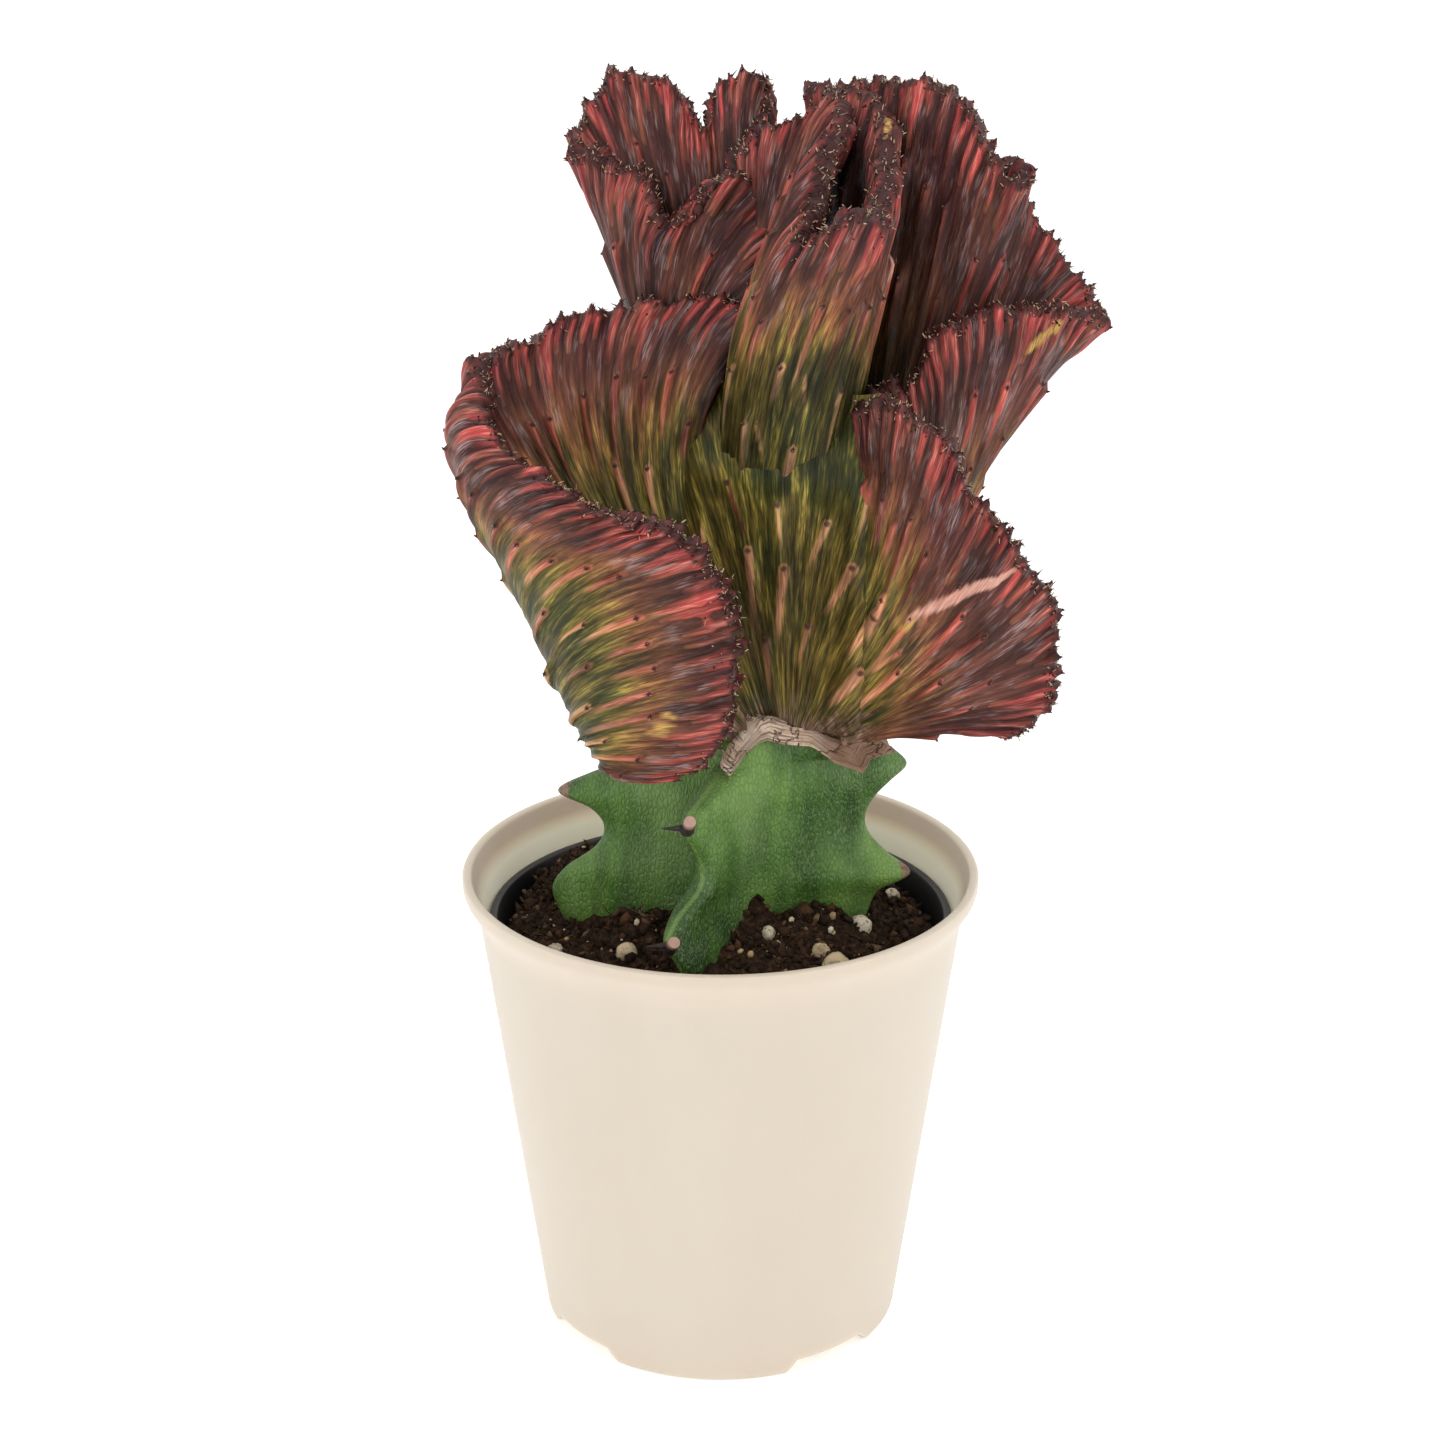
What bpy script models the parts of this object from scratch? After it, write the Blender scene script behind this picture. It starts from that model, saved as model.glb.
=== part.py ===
"""Potted coral cactus: a crested scion grafted on a winged rootstock, in its two pots.

Run with: blender --background --python part.py
Every solid is one named object, in metres, with +Z up. The origin lies on the
ground, on the axis of the pots. Sizes below are in millimetres and are scaled
once, where a mesh is made.
"""
import math
import random

import bmesh
import bpy
import numpy as np
from mathutils import Vector
from mathutils.bvhtree import BVHTree

MM = 0.001
OBJECT_NAME = "potted_coral_cactus"
GAP = 0.3                      # clearance kept between touching solids

# Outer pot
POT_HEIGHT = 142.0
POT_RIM_RADIUS = 76.0
POT_FOOT_RADIUS = 53.4
POT_WALL_TOP_RADIUS = 71.2     # outside of the wall, just under the flared rim
POT_WALL_TOP_HEIGHT = 129.0
POT_WALL = 1.9
POT_FLOOR = 7.0
FOOT_NOTCH_HEIGHT = 4.2
FOOT_NOTCH_DEPTH = 13.0
FOOT_NOTCH_HALF_ANGLE = 16.0
FOOT_NOTCH_ANGLES = (-52.0, 38.0, 128.0, 218.0)   # measured from the front of the pot
DRAIN_RADIUS = 3.5
POT_SEGMENTS = 52

# Nursery pot
NURSERY_RIM_HEIGHT = 128.0
NURSERY_RIM_RADIUS = 68.4
NURSERY_WALL = 1.2
NURSERY_RIM_WIDTH = 2.6
NURSERY_FLOOR = 1.6
NURSERY_FOOT_RADIUS = 50.6
NURSERY_SEGMENTS = 44
NURSERY_DRAINS = 6

# Soil and the grains of perlite on it
SOIL_LEVEL = 121.5
SOIL_RINGS = 7
SOIL_SEGMENTS = 34
SOIL_MOUND = 3.0               # how far the soil climbs towards the rootstock
SOIL_LUMP = 1.1
GRAINS = (                     # place on the soil and radius
    (33, -37, 4.3), (41, -10, 3.5), (29, -29, 2.6), (50, -25, 3.0), (14, -21, 2.4),
    (-36, 9, 3.2), (-27, -30, 3.0), (-48, -19, 2.6), (4, -46, 2.4), (22, 44, 2.8),
    (-20, 48, 3.0), (52, 20, 2.6),
)
GRAIN_SINK = 0.45              # share of a grain's radius that its middle lies above the soil

# Rootstock: levels of its three-winged column, with the tips of its wings
STOCK_FOOT = 92.0
STOCK_LEVELS = (               # height, left tip, right tip, front tip, share of the top's width
    (92, (-8, 4), (28, 2), (2, -16), 0.0),
    (108, (-28, 3), (38, 1), (-6, -30), 0.0),
    (120, (-42, 2), (42, 0), (-10, -39), 0.0),
    (129, (-47, 1), (44, -1), (-12, -42), 0.0),
    (136, (-48, 1), (47, -2), (-15, -41), 0.1),
    (142, (-44, 1), (55, -3), (-12, -36), 0.1),
    (147, (-37, 2), (49, -1), (-7, -31), 0.2),
    (154, (-34, 3), (43.5, 1), (-6, -29), 0.4),
    (160, (-38, 3), (43.5, 1), (-8, -30), 0.5),
    (165, (-46, 3), (46, 1), (-10, -31), 0.6),
    (170, (-38, 3), (50, 0), (-9, -30), 0.8),
    (175, (-26, 2), (54, 0), (-4, -24), 0.9),
    (180, (-15, 1), (50, 0), (0, -17), 1.0),
)
WING_HALF = 3.4                # half the thickness of a wing at its tip
WING_SWING = 3.2               # how far the section's curve swings out past its tip points
VALLEYS_LOW = ((12, 14), (-11, -8), (10, -15))     # back, left front and right front
VALLEYS_TOP = ((18, 12), (1, -8), (15, -14))
STOCK_SAMPLES = 4
THORNS = (                     # foot, and tip of each dark thorn
    ((-9, -30, 168), (-17, -33, 169.5)), ((-9, -30, 168), (-8, -36, 171)),
    ((-14, -41, 136), (-21, -43, 136.5)), ((-14, -41, 136), (-12, -46, 137)),
)
THORN_RADIUS = 1.6
THORN_SIDES = 6
THORN_ROOT = 2.0               # how far a thorn or spine is sunk into what it grows from

# Corky collar of the graft
COLLAR_TOP = 190.0
COLLAR_LEVELS = (              # height, half width, half depth, unevenness
    (172, 21.0, 15.0, 2.6), (176, 22.5, 16.0, 2.4), (180.5, 23.0, 16.0, 1.6),
    (185, 22.0, 14.5, 1.0), (190, 19.0, 11.5, 0.5),
)
COLLAR_CENTRE = (23.0, -1.5)
COLLAR_SIDES = 26

# Crest
CREST_COLUMNS = 166
CREST_ROWS = (0.2, 0.34, 0.48, 0.62, 0.75, 0.87, 0.95, 1.0)
HEART_ROWS = (0.0, 0.1, 0.2, 0.3)
HEART_SHARES = (1.0, 1.05, 1.05, 0.6)   # thickness there against the sheet's
HEART_VOXEL = 1.3
HEART_TRIANGLES = 1000
GRAFT_CENTRE = (21.0, -2.0, COLLAR_TOP - 1.0)
HALF_WAY_CENTRE = (12.0, 3.0, 262.0)
GATHER = 0.24                  # how far the sheet draws together at its foot
HALF_WAY_PASSES = 16           # how much the half way line and the foot are smoothed
FOOT_PASSES = 60
UNTANGLE_PASSES = 40
UNTANGLE_SHARE = 0.85
ROLL_ROUNDNESS = 0.28          # how round a rolled stretch of the sheet is
THINNING_PASSES = 30
BEND_LIMIT = 0.75
END_COLUMNS = 8                # the sheet thins over this many columns at its two ends
SHEET_HALF_BASE = 6.0
SHEET_HALF_EDGE = 3.9
RIB_DEPTH = 0.75
TOOTH_LENGTH = 1.4
SPINE_STEP = 4                 # columns from one spine of the growing edge to the next
SPINE_LENGTH = 2.8
SPINE_RADIUS = 0.8
SPINE_SIDES = 3
SPINE_LEAN = 0.4               # how far spines lean out to either face, by turns
PANEL_COLUMNS = 16             # most columns in one panel of the sheet
PANEL_TURN = 110.0             # most degrees that one panel turns
LAP_SHARE = 0.81               # thickness of the column by which panels lap
CORE_SIDES = 20
CORE_LEVELS = (                # height, centre, half width, half depth
    (COLLAR_TOP - 1.0, (21, 0), 15, 7.5),
    (202.0, (20, 2), 12, 6.0),
    (216.0, (19, 5), 11, 6.0),
    (228.0, (18, 9), 8, 5.0),
)

# The crest is one thick sheet whose growing edge winds to and fro. Each fold
# gives points along the growing edge, then points that the sheet passes through
# half way down. Its foot is that half way line drawn together over the graft.
FOLDS = (
    # near wall of the left cup, rolled towards the front
    (((-17, -35, 185), (-4, -43, 195), (3, -50, 213), (4, -54, 229), (2, -57, 243),
      (-4, -58, 256), (-13, -58, 264), (-24, -57, 267), (-35, -54, 270),
      (-44, -49, 274), (-53, -42, 276), (-60, -33, 281)),
     ((-25, -23, 184), (-33, -26, 190), (-38, -30, 202), (-43, -32, 217),
      (-49, -32, 231), (-54, -31, 242), (-58, -28, 250), (-62, -24, 258),
      (-63, -18, 263))),
    # left turn and far wall of the left cup
    (((-64, -22, 286), (-65, -10, 290), (-65, 2, 294), (-60, 10, 297), (-53, 15, 297),
      (-45, 19, 302), (-34, 21, 304), (-20, 21, 305), (-6, 18, 308), (6, 14, 308),
      (14, 10, 307), (20, 8, 305), (25, 12, 305)),
     ((-61, -10, 262), (-55, -3, 258), (-47, 3, 254), (-38, 6, 250), (-29, 7, 250),
      (-21, 6, 252), (-15, 5, 255), (-8, 5, 259), (-3, 8, 263))),
    # upper left tier behind it
    (((25, 18, 309), (21, 22, 315), (18, 25, 322), (19, 30, 329), (14, 33, 335),
      (6, 34, 341), (-1, 33, 338), (-7, 29, 331), (-12, 27, 328), (-17, 29, 330),
      (-19, 34, 338), (-24, 38, 341), (-31, 41, 342), (-37, 45, 345), (-41, 48, 343)),
     ((-3, 13, 267), (-7, 17, 272), (-10, 20, 277), (-12, 22, 280), (-14, 23, 284),
      (-17, 24, 287), (-21, 28, 290), (-24, 33, 293))),
    # farthest tier at the top left
    (((-41, 56, 350), (-35, 60, 359), (-32, 64, 364), (-24, 65, 363), (-14, 62, 361),
      (-8, 57, 353), (-4, 54, 349), (-2, 60, 357), (4, 64, 363), (10, 65, 365),
      (14, 60, 359)),
     ((-20, 39, 295), (-15, 42, 297), (-9, 42, 299), (-2, 38, 299), (4, 38, 300),
      (10, 37, 300), (13, 33, 300))),
    # small lobe in the middle of the top
    (((10, 51, 352), (4, 45, 345), (8, 40, 346), (14, 39, 351), (22, 39, 355),
      (30, 38, 359)),
     ((13, 28, 297), (14, 23, 294), (15, 20, 293), (16, 17, 292))),
    # edge that runs to the front, round the small front lobe, and back again
    (((35, 33, 360), (33, 22, 355), (31, 12, 349), (29, 3, 343), (25, -6, 335),
      (23, -13, 329), (27, -18, 335), (33, -19, 339), (38, -17, 339), (42, -11, 335),
      (44, -3, 338), (45, 5, 341), (47, 13, 346), (48, 22, 353), (45, 32, 359),
      (38, 42, 362), (30, 48, 362)),
     ((16, 14, 289), (9, 11, 281), (2, 9, 272), (-3, 4, 264), (1, -3, 259),
      (9, -9, 258), (19, -14, 260), (29, -15, 263), (36, -12, 267), (38, -4, 276),
      (39, 8, 287), (33, 21, 293), (23, 30, 295))),
    # big upper right lobe
    (((25, 53, 361), (30, 59, 361), (41, 55, 363), (52, 48, 364), (60, 43, 364), (66, 41, 363),
      (71, 37, 358), (74, 32, 353), (77, 27, 346), (81, 24, 340), (86, 28, 339),
      (85, 36, 343), (82, 44, 340)),
     ((22, 37, 296), (34, 37, 297), (45, 32, 297), (54, 26, 296), (58, 20, 292), (62, 14, 287),
      (65, 15, 281), (66, 22, 281))),
    # far wall of the right cup
    (((88, 48, 327), (95, 46, 321), (101, 42, 311), (106, 36, 305), (109, 28, 301)),
     ((67, 27, 280), (72, 29, 275), (76, 25, 268), (77, 19, 263))),
    # near wall of the right cup
    (((106, 20, 303), (95, 14, 306), (84, 10, 307), (76, 7, 309), (67, 3, 306),
      (60, -1, 303), (55, -4, 293), (52, -5, 287), (46, 1, 288)),
     ((75, 9, 260), (69, 2, 260), (62, -3, 260), (55, -8, 255), (49, -11, 250),
      (43, -9, 246))),
    # lower right lobe
    (((39, -10, 284), (42, -20, 288), (51, -26, 288), (60, -30, 282), (64, -33, 276),
      (69, -36, 267), (75, -38, 261), (81, -40, 252), (87, -41, 245), (91, -42, 238),
      (92, -42, 225), (92, -41, 213), (87, -39, 203), (78, -36, 197)),
     ((37, -17, 243), (41, -26, 244), (50, -31, 241), (57, -34, 236), (61, -35, 228),
      (64, -35, 218), (66, -34, 209), (63, -30, 201), (59, -26, 196))),
)


def clear_scene():
    """Remove every object that the file opened with."""
    for item in list(bpy.data.objects):
        bpy.data.objects.remove(item, do_unlink=True)


def new_collection(name):
    """Make a collection in the scene."""
    collection = bpy.data.collections.new(name)
    bpy.context.scene.collection.children.link(collection)
    return collection


def principled(name, colour, roughness, metallic=0.0):
    """Make a plain Principled material."""
    material = bpy.data.materials.new(name)
    material.use_nodes = True
    shader = material.node_tree.nodes["Principled BSDF"]
    shader.inputs["Base Color"].default_value = (*colour, 1.0)
    shader.inputs["Roughness"].default_value = roughness
    shader.inputs["Metallic"].default_value = metallic
    return material


def mesh_object(name, vertices, faces, collection, material=None):
    """Make an object from points in millimetres and its faces."""
    mesh = bpy.data.meshes.new(name)
    mesh.from_pydata([tuple(c * MM for c in v) for v in vertices], [], faces)
    mesh.update()
    item = bpy.data.objects.new(name, mesh)
    collection.objects.link(item)
    if material is not None:
        mesh.materials.append(material)
    return item


# Curves through hand-placed points
def through(knots, points, at):
    """Read a smooth curve that passes through the points at their knots."""
    knots = np.asarray(knots, float)
    points = np.asarray(points, float)
    slopes = np.gradient(points, knots, axis=0)
    cell = np.clip(np.searchsorted(knots, at, side="right") - 1, 0, len(knots) - 2)
    width = (knots[cell + 1] - knots[cell])[:, None]
    t = ((at - knots[cell]) / width[:, 0])[:, None]
    start, end = points[cell], points[cell + 1]
    leave, arrive = slopes[cell] * width, slopes[cell + 1] * width
    return ((2 * t**3 - 3 * t**2 + 1) * start + (t**3 - 2 * t**2 + t) * leave
            + (3 * t**2 - 2 * t**3) * end + (t**3 - t**2) * arrive)


def crest_guides():
    """Gather the folds into two guides: the growing edge and the half way line."""
    edge, middle = [], []
    for edge_points, middle_points in FOLDS:
        first = len(edge)
        last = first + len(edge_points) - 1
        edge.extend(zip(range(first, last + 1), edge_points))
        middle.extend(zip(np.linspace(first, last, len(middle_points)), middle_points))
    return edge, middle


def read_guide(guide, at):
    """Read one guide at the given places along the edge."""
    return through([knot for knot, _ in guide], [point for _, point in guide], at)


def soften(values, passes):
    """Smooth values along the columns and keep both ends."""
    values = values.copy()
    for _ in range(passes):
        values[1:-1] = 0.25 * values[:-2] + 0.5 * values[1:-1] + 0.25 * values[2:]
    return values


def crest_sheet(columns, rows):
    """Middle surface of the crest: columns evenly spaced along the growing edge."""
    edge, belly = crest_guides()
    fine = np.linspace(0.0, len(edge) - 1.0, 4000)
    line = read_guide(edge, fine)
    length = np.concatenate([[0.0], np.cumsum(np.linalg.norm(np.diff(line, axis=0), axis=1))])
    at = np.interp(np.linspace(0.0, length[-1], columns), length, fine)
    evenness = (columns / CREST_COLUMNS) ** 2
    top = read_guide(edge, at)
    half_way = soften(read_guide(belly, at), int(round(HALF_WAY_PASSES * evenness)))
    gathered = soften(half_way, int(round(FOOT_PASSES * evenness)))
    foot = np.array(GRAFT_CENTRE) + (gathered - np.array(HALF_WAY_CENTRE)) * GATHER
    foot[:, 2] = GRAFT_CENTRE[2]
    span = top - foot
    bulge = np.linalg.norm(half_way - 0.5 * (foot + top), axis=1)
    roll = np.minimum(1.0, bulge / np.linalg.norm(span, axis=1))[:, None]
    reach = (1.0 / 6.0 + ROLL_ROUNDNESS * roll) * span
    middle = (8.0 * half_way - foot - top) / 6.0
    first, second = (middle - reach)[:, None], (middle + reach)[:, None]
    t = np.asarray(rows)[None, :, None]
    return ((1 - t)**3 * foot[:, None] + 3 * t * (1 - t)**2 * first
            + 3 * t**2 * (1 - t) * second + t**3 * top[:, None])


def sheet_normals(surface):
    """Unit normals of the middle surface, from its two directions."""
    across = np.gradient(surface, axis=0)
    along = np.gradient(surface, axis=1)
    normal = np.cross(across, along)
    size = np.linalg.norm(normal, axis=2, keepdims=True)
    return normal / np.maximum(size, 1e-9)


def thin_in_bends(surface, offset):
    """Thin the sheet where it bends more sharply than it is thick."""
    offset = offset.copy()
    for _ in range(THINNING_PASSES):
        share = np.ones(offset.shape[:2])
        for axis in (0, 1):
            step = np.diff(surface, axis=axis)
            swing = np.diff(offset, axis=axis)
            ratio = np.abs((step * swing).sum(2)) / np.maximum((step * step).sum(2), 1e-6)
            tight = np.where(ratio > BEND_LIMIT, 0.9, 1.0)
            if axis == 0:
                share[:-1] = np.minimum(share[:-1], tight)
                share[1:] = np.minimum(share[1:], tight)
            else:
                share[:, :-1] = np.minimum(share[:, :-1], tight)
                share[:, 1:] = np.minimum(share[:, 1:], tight)
        offset *= share[:, :, None]
    return offset


def crest_faces(columns, rows):
    """Middle surface of the ribbed sheet, and the way from it to its front face."""
    rows = np.asarray(rows)
    surface = crest_sheet(columns, rows)
    half = SHEET_HALF_BASE + (SHEET_HALF_EDGE - SHEET_HALF_BASE) * np.minimum(1.0, rows / 0.6)
    half = half * np.where(rows > 0.93, 0.85, 1.0) * np.where(rows > 0.99, 0.45, 1.0)
    steps = np.arange(columns) * CREST_COLUMNS / columns
    ends = np.clip((np.minimum(steps, steps[::-1]) + 4.0) / END_COLUMNS, 0.5, 1.0)
    offset = sheet_normals(surface) * (half[None, :] * ends[:, None])[:, :, None]
    evenness = (columns / CREST_COLUMNS) ** 2
    for row, t in enumerate(rows):
        passes = 5 + 75 * max(0.0, 1.0 - t / 0.6) ** 2
        offset[:, row] = soften(offset[:, row], int(round(passes * evenness)))
    along = np.gradient(surface, axis=1)
    along /= np.linalg.norm(along, axis=2, keepdims=True)
    offset -= (offset * along).sum(2, keepdims=True) * along
    offset = thin_in_bends(surface, offset)
    ridge = np.where(np.arange(columns) % 2 == 0, 1.0, -1.0)[:, None, None]
    depth = RIB_DEPTH * np.clip((rows - 0.1) / 0.4, 0.0, 1.0)
    offset = offset * (1.0 + ridge * (depth / SHEET_HALF_EDGE)[None, :, None])
    if rows[-1] == 1.0:
        direction = surface[:, -1] - surface[:, -3]
        direction /= np.linalg.norm(direction, axis=1, keepdims=True)
        surface[:, -1] += direction * TOOTH_LENGTH * ridge[:, 0] * (2.0 * ends - 1.0)[:, None]
    return surface, offset


def panel_spans(offset):
    """Split the columns into panels that each turn only a little."""
    unit = offset / np.maximum(np.linalg.norm(offset, axis=2, keepdims=True), 1e-9)
    turn = np.degrees(np.arccos(np.clip((unit[1:] * unit[:-1]).sum(2), -1.0, 1.0))).max(axis=1)
    spans, first, turned_by = [], 0, 0.0
    for column in range(1, offset.shape[0]):
        turned_by += turn[column - 1]
        if turned_by > PANEL_TURN or column - first >= PANEL_COLUMNS:
            spans.append((first, column - 1))
            first, turned_by = column, 0.0
    spans.append((first, offset.shape[0] - 1))
    return spans


def crest_solid(collar, collection, cutters, material):
    """The crest: panels of the ribbed sheet fused with the foot they grow from."""
    surface, offset = crest_faces(CREST_COLUMNS, CREST_ROWS)
    panels = []
    for first, last in panel_spans(offset):
        columns = np.arange(max(0, first - 1), min(CREST_COLUMNS, last + 2))
        beyond = (columns < first) | (columns > last)
        middle = surface[columns].copy()
        half = offset[columns].copy()
        half[beyond] *= LAP_SHARE
        middle[beyond, -1] += (middle[beyond, -2] - middle[beyond, -1]) * (1.0 - LAP_SHARE) * 2.0
        middle[beyond, 0] += (middle[beyond, 1] - middle[beyond, 0]) * (1.0 - LAP_SHARE)
        half = untangle(middle, half)
        panels.append(loft_sheet("crest_panel", middle + half, middle - half, cutters))
    heart = crest_heart(collection, cutters, material)
    cut(heart, swollen_copy(collar, GAP, cutters), "MANIFOLD")
    fuse(heart, panels + edge_spines(surface, offset, cutters), cutters)
    keep_largest(heart)
    return heart


def edge_spines(surface, offset, collection):
    """Small spines on teeth of the growing edge, leaning to either face by turns."""
    spines = []
    for index, column in enumerate(range(SPINE_STEP, CREST_COLUMNS - 1, SPINE_STEP)):
        foot = Vector(surface[column, -1])
        outward = (foot - Vector(surface[column, -2])).normalized()
        side = Vector(offset[column, -2]).normalized() * SPINE_LEAN * (-1) ** index
        tip = foot + (outward + side).normalized() * SPINE_LENGTH
        spines.append(thorn(foot, tip, SPINE_RADIUS, SPINE_SIDES, collection))
    return spines


def crest_heart(collection, cutters, material):
    """The foot of the crest, where all its folds grow together into one mass."""
    surface, offset = crest_faces(CREST_COLUMNS, HEART_ROWS)
    offset = offset * np.array(HEART_SHARES)[None, :, None]
    heart = crest_core(collection, material)
    sheet = loft_sheet("crest_foot", surface + offset, surface - offset, cutters)
    shape = bmesh.new()
    shape.from_mesh(heart.data)
    shape.from_mesh(sheet.data)
    shape.to_mesh(heart.data)
    shape.free()
    bpy.data.objects.remove(sheet, do_unlink=True)
    remesh = heart.modifiers.new("grow_together", "REMESH")
    remesh.mode = "VOXEL"
    remesh.voxel_size = HEART_VOXEL * MM
    apply_modifiers(heart)
    thin_out(heart, HEART_TRIANGLES)
    return heart


def thin_out(item, triangles):
    """Reduce the object's mesh to about so many triangles."""
    item.data.calc_loop_triangles()
    decimate = item.modifiers.new("thin_out", "DECIMATE")
    decimate.ratio = triangles / len(item.data.loop_triangles)
    decimate.use_collapse_triangulate = True
    apply_modifiers(item)


def crest_core(collection, material):
    """The thick foot of the crest, where all its folds grow together."""
    outline = []
    for height, centre, wide, deep in CORE_LEVELS:
        ring = [(centre[0] + wide * math.cos(turn), centre[1] + deep * math.sin(turn), height)
                for turn in np.linspace(0.0, 2.0 * math.pi, CORE_SIDES, endpoint=False)]
        outline.append(ring)
    return stacked_rings("crest", outline, collection, material)


def stacked_rings(name, rings, collection, material=None):
    """Close a stack of like rings, lowest first, into one solid."""
    count = len(rings[0])
    vertices = [point for ring in rings for point in ring]
    faces = [tuple(range(count))[::-1]]
    for level in range(len(rings) - 1):
        low, high = level * count, (level + 1) * count
        for i in range(count):
            j = (i + 1) % count
            faces += [(low + i, low + j, high + j), (low + i, high + j, high + i)]
    faces.append(tuple(range(len(vertices) - count, len(vertices))))
    return mesh_object(name, vertices, faces, collection, material)


def fuse(body, pieces, cutters, solver="MANIFOLD"):
    """Join the pieces to the body with one applied Boolean union."""
    group = bpy.data.collections.new(body.name + "_pieces")
    cutters.children.link(group)
    for piece in pieces:
        cutters.objects.unlink(piece)
        group.objects.link(piece)
    union = body.modifiers.new("fuse", "BOOLEAN")
    union.operation = "UNION"
    union.operand_type = "COLLECTION"
    union.collection = group
    union.solver = solver
    apply_modifiers(body)
    for piece in pieces:
        bpy.data.objects.remove(piece, do_unlink=True)
    bpy.data.collections.remove(group)


def apply_modifiers(item):
    """Replace the object's mesh by its evaluated one."""
    graph = bpy.context.evaluated_depsgraph_get()
    graph.update()
    mesh = bpy.data.meshes.new_from_object(item.evaluated_get(graph))
    old = item.data
    item.modifiers.clear()
    item.data = mesh
    bpy.data.meshes.remove(old)
    mesh.name = item.name


def loft_faces(columns, rows):
    """Triangles that close two like grids, split alike on both sides."""
    other = columns * rows

    def at(column, row):
        return column * rows + row

    faces = []
    for i in range(columns - 1):
        for j in range(rows - 1):
            a, b, c, d = at(i, j), at(i + 1, j), at(i + 1, j + 1), at(i, j + 1)
            faces += [(a, b, c), (a, c, d)]
            faces += [(a + other, c + other, b + other), (a + other, d + other, c + other)]
        for row, flip in ((0, False), (rows - 1, True)):
            a, b = at(i, row), at(i + 1, row)
            strip = [(a, a + other, b + other), (a, b + other, b)]
            faces += [tri[::-1] for tri in strip] if flip else strip
    for column, flip in ((0, True), (columns - 1, False)):
        for j in range(rows - 1):
            a, d = at(column, j), at(column, j + 1)
            strip = [(a, a + other, d + other), (a, d + other, d)]
            faces += [tri[::-1] for tri in strip] if flip else strip
    return faces


def loft_sheet(name, front, back, collection, material=None):
    """Close two like grids into one solid."""
    vertices = np.concatenate([front.reshape(-1, 3), back.reshape(-1, 3)])
    return mesh_object(name, vertices.tolist(), loft_faces(*front.shape[:2]), collection, material)


def untangle(middle, half):
    """Thin a panel wherever its own faces would cross each other."""
    half = half.copy()
    columns, rows = half.shape[:2]
    faces = loft_faces(columns, rows)
    corners = [set(face) for face in faces]
    for _ in range(UNTANGLE_PASSES):
        points = np.concatenate([(middle + half).reshape(-1, 3), (middle - half).reshape(-1, 3)])
        tree = BVHTree.FromPolygons(points.tolist(), faces)
        share = np.ones(columns * rows)
        for a, b in tree.overlap(tree):
            if not corners[a] & corners[b]:
                share[[corner % (columns * rows) for corner in faces[a]]] = UNTANGLE_SHARE
        if share.min() == 1.0:
            break
        half *= share.reshape(columns, rows, 1)
    return half


# Turned pots
def turned(name, profile, segments, collection, material=None):
    """Turn a profile of radius and height about the vertical axis."""
    mesh = bpy.data.meshes.new(name)
    edges = [(i, i + 1) for i in range(len(profile) - 1)]
    mesh.from_pydata([(r * MM, 0.0, z * MM) for r, z in profile], edges, [])
    item = bpy.data.objects.new(name, mesh)
    collection.objects.link(item)
    screw = item.modifiers.new("turn", "SCREW")
    screw.steps = screw.render_steps = segments
    screw.use_merge_vertices = True
    screw.merge_threshold = 0.00001
    apply_modifiers(item)
    if material is not None:
        item.data.materials.append(material)
    return item


def cut(body, cutter, solver="EXACT"):
    """Take the cutter away from the body, and remove the cutter."""
    difference = body.modifiers.new("cut", "BOOLEAN")
    difference.operation = "DIFFERENCE"
    difference.object = cutter
    difference.solver = solver
    apply_modifiers(body)
    bpy.data.objects.remove(cutter, do_unlink=True)


def upright_cylinder(name, place, radius, low, high, sides, collection):
    """A cylinder between two heights."""
    mesh = bpy.data.meshes.new(name)
    shape = bmesh.new()
    bmesh.ops.create_cone(shape, cap_ends=True, segments=sides, radius1=radius * MM,
                          radius2=radius * MM, depth=(high - low) * MM)
    bmesh.ops.translate(shape, verts=shape.verts,
                        vec=(place[0] * MM, place[1] * MM, 0.5 * (high + low) * MM))
    shape.to_mesh(mesh)
    shape.free()
    item = bpy.data.objects.new(name, mesh)
    collection.objects.link(item)
    return item


def around(radius, degrees):
    """Place at a radius, by the angle from the front of the pot."""
    turn = math.radians(degrees)
    return radius * math.sin(turn), -radius * math.cos(turn)


def foot_notch(degrees, collection):
    """A wedge with sloped ends that lifts the foot off the ground."""
    inner, outer = POT_FOOT_RADIUS - FOOT_NOTCH_DEPTH, POT_FOOT_RADIUS + 6.0
    corners = []
    for height, spread in ((-2.0, 3.0), (FOOT_NOTCH_HEIGHT, -3.0)):
        half = FOOT_NOTCH_HALF_ANGLE + spread
        for radius, side in ((inner, -half), (outer, -half), (outer, half), (inner, half)):
            corners.append((*around(radius, degrees + side), height))
    faces = [(3, 2, 1, 0), (4, 5, 6, 7), (0, 1, 5, 4), (1, 2, 6, 5), (2, 3, 7, 6), (3, 0, 4, 7)]
    return mesh_object("foot_notch", corners, faces, collection)


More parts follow.
